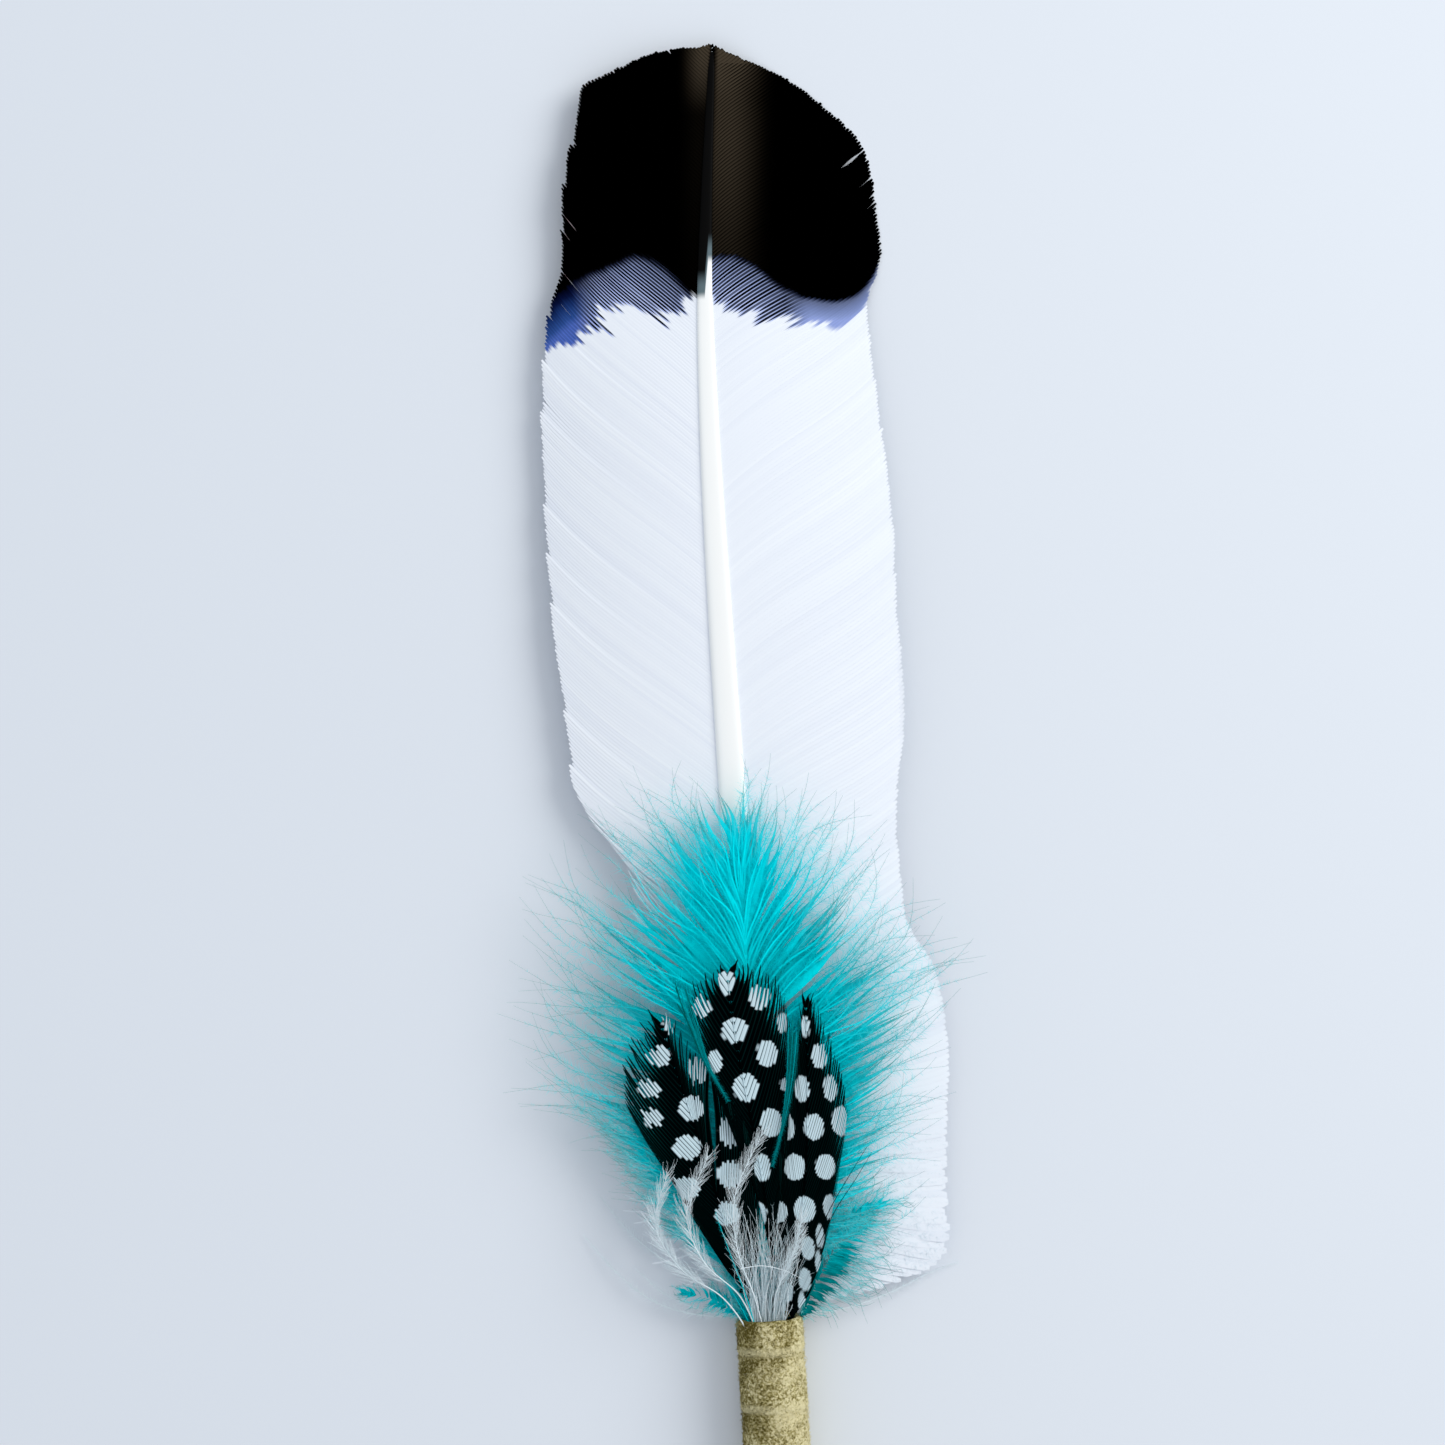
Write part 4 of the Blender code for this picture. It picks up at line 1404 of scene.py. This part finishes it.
@dataclass(frozen=True)
class Studio:
    """Floor, soft light from the upper right, and the camera that looks straight down."""

    view_middle: tuple[float, float] = (-2.3, 113.1)
    view_turn: float = -3.33
    frame_width: float = 274.55
    lens: float = 85.0
    sensor: float = 36.0
    focus_height: float = 4.0

    def build(self) -> None:
        """Adds the floor, the lights and the camera."""
        floor = bpy.data.meshes.new("floor")
        mesh = bmesh.new()
        bmesh.ops.create_grid(mesh, x_segments=1, y_segments=1, size=1.5)
        mesh.to_mesh(floor)
        mesh.free()
        floor.materials.append(PaleGround().material())
        ground = bpy.data.objects.new("floor", floor)
        bpy.context.scene.collection.objects.link(ground)

        scene = bpy.context.scene
        scene.view_settings.view_transform = "Standard"
        world = bpy.data.worlds.new("studio")
        world.use_nodes = True
        sky = world.node_tree.nodes["Background"]
        sky.inputs["Color"].default_value = linear("#f5f9ff")
        sky.inputs["Strength"].default_value = 0.7
        scene.world = world

        lamp = bpy.data.lights.new("softbox", "AREA")
        lamp.shape = "DISK"
        lamp.size = 0.9
        lamp.energy = 10.0
        lamp.color = linear("#fffdf8")[:3]
        softbox = bpy.data.objects.new("softbox", lamp)
        softbox.location = (0.95, 0.65, 0.75)
        aim = Vector((0, 0.15, 0)) - softbox.location
        softbox.rotation_euler = aim.to_track_quat("-Z", "Y").to_euler()
        scene.collection.objects.link(softbox)

        data = bpy.data.cameras.new("camera")
        data.lens = self.lens
        data.sensor_width = self.sensor
        data.clip_start = 0.01
        camera = bpy.data.objects.new("camera", data)
        away = self.frame_width * self.lens / self.sensor + self.focus_height
        camera.location = placed(np.array([*self.view_middle, away]))
        camera.rotation_euler = (0, 0, math.radians(self.view_turn))
        scene.collection.objects.link(camera)
        scene.camera = camera


MARABOU = (
    Plume(
        "marabou_centre", ((-3.5, -2), (-2, 6), (-0.5, 20), (-0.5, 45), (-0.5, 75), (-0.5, 104)),
        (
            (-5.8, 0), (-9.5, 10), (-13.5, 19.5), (-22, 20.8), (-27.4, 24), (-29, 34), (-35, 41), (-44, 46),
            (-45.5, 62), (-44.5, 76), (-34, 92.5), (-24, 103), (-12, 105.5), (-2.5, 107),
        ),
        (
            (-1, 0), (3, 8), (8, 13), (14, 15.5), (25, 18.5), (30.2, 22), (34.3, 36), (37.5, 50), (41.5, 67),
            (35, 78), (28.5, 87), (19.5, 98), (12, 102), (5, 106), (0, 107),
        ),
        Layer(3.55, 4.1), strands=380, stations=22, core=0.52, core_width=0.9, barbules=34000,
        strays=(
            Stray(((-2.6, -2), (-3.6, 3.2), (-6.2, 12), (-9, 21.6)), (10.2, 13.5), 0.22),
            Stray(((-3.2, -2), (-5.2, 3), (-8.6, 9), (-13.6, 14.6)), (9.2, 11.5), 0.2),
            *wisp(((7.6, 54), (6.3, 45), (4.8, 38), (2.2, 29.6)), (13.7, 13.2), 2.0, 9, -0.75),
            *wisp(((-12.8, 63), (-11.2, 57), (-9.2, 50), (-5.4, 42.2)), (12.9, 12.7), 2.6, 11, -0.85),
        ),
    ),
    Plume(
        "marabou_centre", ((-6, 15), (-12, 22), (-18, 30), (-24, 38)),
        ((-8, 14), (-14, 20.6), (-18.6, 21.6), (-23.4, 24.4), (-28, 30), (-30.6, 37), (-32, 43)),
        ((-4, 17), (-8, 30), (-14, 40), (-22, 48), (-31, 46)),
        Layer(3.55, 4.6), strands=110, stations=14, core=0.42, core_width=0.7, barbules=3500, barbule=2.0,
        depth=0.4, foot_shade=0.1, part="_lobe", seed=12,
    ),
    Plume(
        "marabou_right", ((6, 0), (11, 9), (17, 17), (28, 22.5)),
        ((6, 1), (10, 16), (14.5, 26), (21, 26.5), (27.5, 24)),
        ((6.6, -0.5), (15, -0.8), (23, 2.5), (26.5, 11), (30, 21.5)),
        Layer(3.55, 1.9, 5.0), strands=130, stations=20, core=0.3, core_width=0.34, barbules=1500, barbule=1.0,
        curl=9.0, foot_shade=0.9, seed=4,
    ),
    Plume(
        "marabou_left", ((-5.4, 1), (-9.5, 3.6), (-14, 5.2), (-19, 6)),
        ((-5.6, 0.4), (-12, 1.4), (-17, 3.4), (-20.4, 5.6)),
        ((-5.3, 2), (-8.5, 7.6), (-13.6, 9), (-18.6, 7)),
        Layer(3.55, 1.9, 5.0), strands=40, stations=14, core=0.4, core_width=0.35, barbules=700, barbule=0.9,
        curl=8.0, foot_shade=0.2, seed=8,
    ),
)

GUINEA = (
    GuineaFeather(
        "guinea_left", ((-4.2, 6), (-7.5, 20), (-12, 38), (-17.4, 58)),
        ((-5.3, 6), (-13.4, 21), (-19, 32), (-24.6, 43), (-23.6, 51.5), (-18.6, 58.8)),
        ((-2, 6), (-0.8, 20), (-0.8, 31), (-2.6, 38.8), (-7, 45.3), (-13.7, 55), (-16.6, 59.4)),
        Layer(4.75, 5.9), (
            Dot(-15.9, 57.5, 1.2, 1.8), Dot(-18.0, 51.3, 2.4, 1.9), Dot(-10.5, 48.2, 2.2, 2.4),
            Dot(-19.9, 44.8, 2.1, 1.7), Dot(-12.4, 41.0, 2.4, 2.3), Dot(-19.6, 39.4, 2.0, 1.6),
            Dot(-5.3, 36.2, 2.2, 2.8), Dot(-13.4, 33.6, 2.7, 2.3), Dot(-5.9, 28.1, 2.3, 2.5),
            Dot(-14.3, 26.1, 2.4, 2.3), Dot(-6.9, 20.8, 2.4, 2.2),
        ), ragged=0.42, open_from=0.3, seed=0,
    ),
    GuineaFeather(
        "guinea_right", ((4.2, 0), (5.2, 7), (6.5, 15), (8.6, 30), (9.7, 45), (10.2, 60.6)),
        ((3.4, 0), (2.4, 6), (2.1, 14), (2.1, 22), (5.4, 41), (7.4, 49), (9.8, 61.2)),
        ((4.9, 0), (7.8, 4), (11, 13), (14.8, 28), (16.8, 40), (14.6, 51.5), (10.9, 61.2)),
        Layer(4.75, 5.9), (
            Dot(9.9, 55.2, 0.8, 2.0), Dot(12.2, 49.5, 1.5, 2.3), Dot(8.6, 43.5, 1.4, 2.5),
            Dot(13.9, 43.3, 1.3, 2.4), Dot(5.6, 36.3, 1.2, 2.3), Dot(10.4, 36.2, 1.9, 2.5),
            Dot(15.4, 36.9, 1.6, 2.8), Dot(6.4, 28.8, 2.0, 2.5), Dot(12.1, 28.5, 1.9, 2.4),
            Dot(2.7, 20.6, 1.9, 2.1), Dot(7.8, 20.7, 2.0, 2.5), Dot(12.6, 21.0, 1.3, 2.3),
            Dot(10.4, 15.6, 0.8, 2.2), Dot(8.0, 13.4, 1.3, 2.2), Dot(9.8, 10.9, 0.6, 1.9),
            Dot(7.1, 7.5, 1.2, 2.2), Dot(3.7, 5.2, 1.2, 1.9), Dot(6.3, 3.1, 0.7, 2.0),
        ), strays=(
            Stray(((9, 14), (13.1, 21.7), (16.6, 27), (20.1, 32.1)), (11.5, 12.5), 0.2),
            Stray(((10, 14), (13.9, 21), (17.6, 26), (21, 31)), (11.5, 12.0), 0.18),
        ), seed=4,
    ),
    GuineaFeather(
        "guinea_centre", ((1.2, 12), (0.2, 27), (-1.9, 43), (-3.4, 55), (-4.2, 66.6)),
        ((0.4, 12), (-0.9, 31), (-2.8, 38.8), (-9.2, 51), (-11.4, 62.5), (-5.2, 67)),
        ((2, 12), (2.7, 27), (6, 42), (6.9, 56), (4.4, 64.5), (-2.9, 67.4)),
        Layer(4.75, 7.1), (
            Dot(-4.4, 64.4, 1.6, 2.4), Dot(-9.2, 60.0, 1.8, 1.9), Dot(1.6, 61.1, 2.0, 2.2),
            Dot(-3.4, 55.4, 2.4, 2.4), Dot(5.6, 56.2, 0.9, 2.0), Dot(-7.3, 49.7, 1.3, 2.2),
            Dot(2.4, 50.7, 2.0, 2.5), Dot(-1.9, 44.5, 2.4, 2.6), Dot(5.2, 44.6, 0.7, 1.2),
            Dot(2.4, 37.6, 2.1, 2.7), Dot(0.3, 29.3, 1.5, 2.6), Dot(-0.8, 20.5, 1.6, 2.3),
            Dot(-1.0, 12.8, 1.8, 2.0),
        ), seed=8,
    ),
)

DOWN = (
    DownPlume("white_down_far_left", ((-8.5, 5), (-15.5, 10.5), (-20.3, 19.5), (-17.4, 29.6)), seed=0),
    DownPlume("white_down_left", ((-5.2, 5), (-11.5, 12), (-14.4, 21), (-9.7, 32.2)), seed=1),
    DownPlume("white_down_centre", ((-2.6, 5), (-5, 13), (-5.4, 23), (0.8, 36.2)), seed=2),
    DownPlume(
        "white_down_right", ((1.4, 5), (3.2, 9), (5.6, 14), (7.4, 20)), seed=3, length=3.0,
        strays=(Stray(((-4.9, 10.9), (-1, 11.2), (3, 10.2), (6.4, 8.4)), (14.0, 14.0), 0.2),),
    ),
    DownTuft("white_down_centre", (-2.9, 2.3), ((-4.6, 20.5), (1, 22.5), (7.4, 17.5)), Layer(5.2, 7.4)),
)


def main() -> None:
    """Builds the sub-assemblies in order."""
    logging.basicConfig(level=logging.INFO, format="%(message)s")
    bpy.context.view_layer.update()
    Studio().build()
    MainFeather().build()
    turquoise = DyedDown().material()
    for plume in MARABOU:
        plume.build(turquoise)
    spotted = SpottedVane().material()
    for feather in GUINEA:
        feather.build(spotted)
    white = WhiteDown().material()
    for plume in DOWN:
        plume.build(white)
    SuedeWrap().build()


if __name__ == "__main__":
    main()
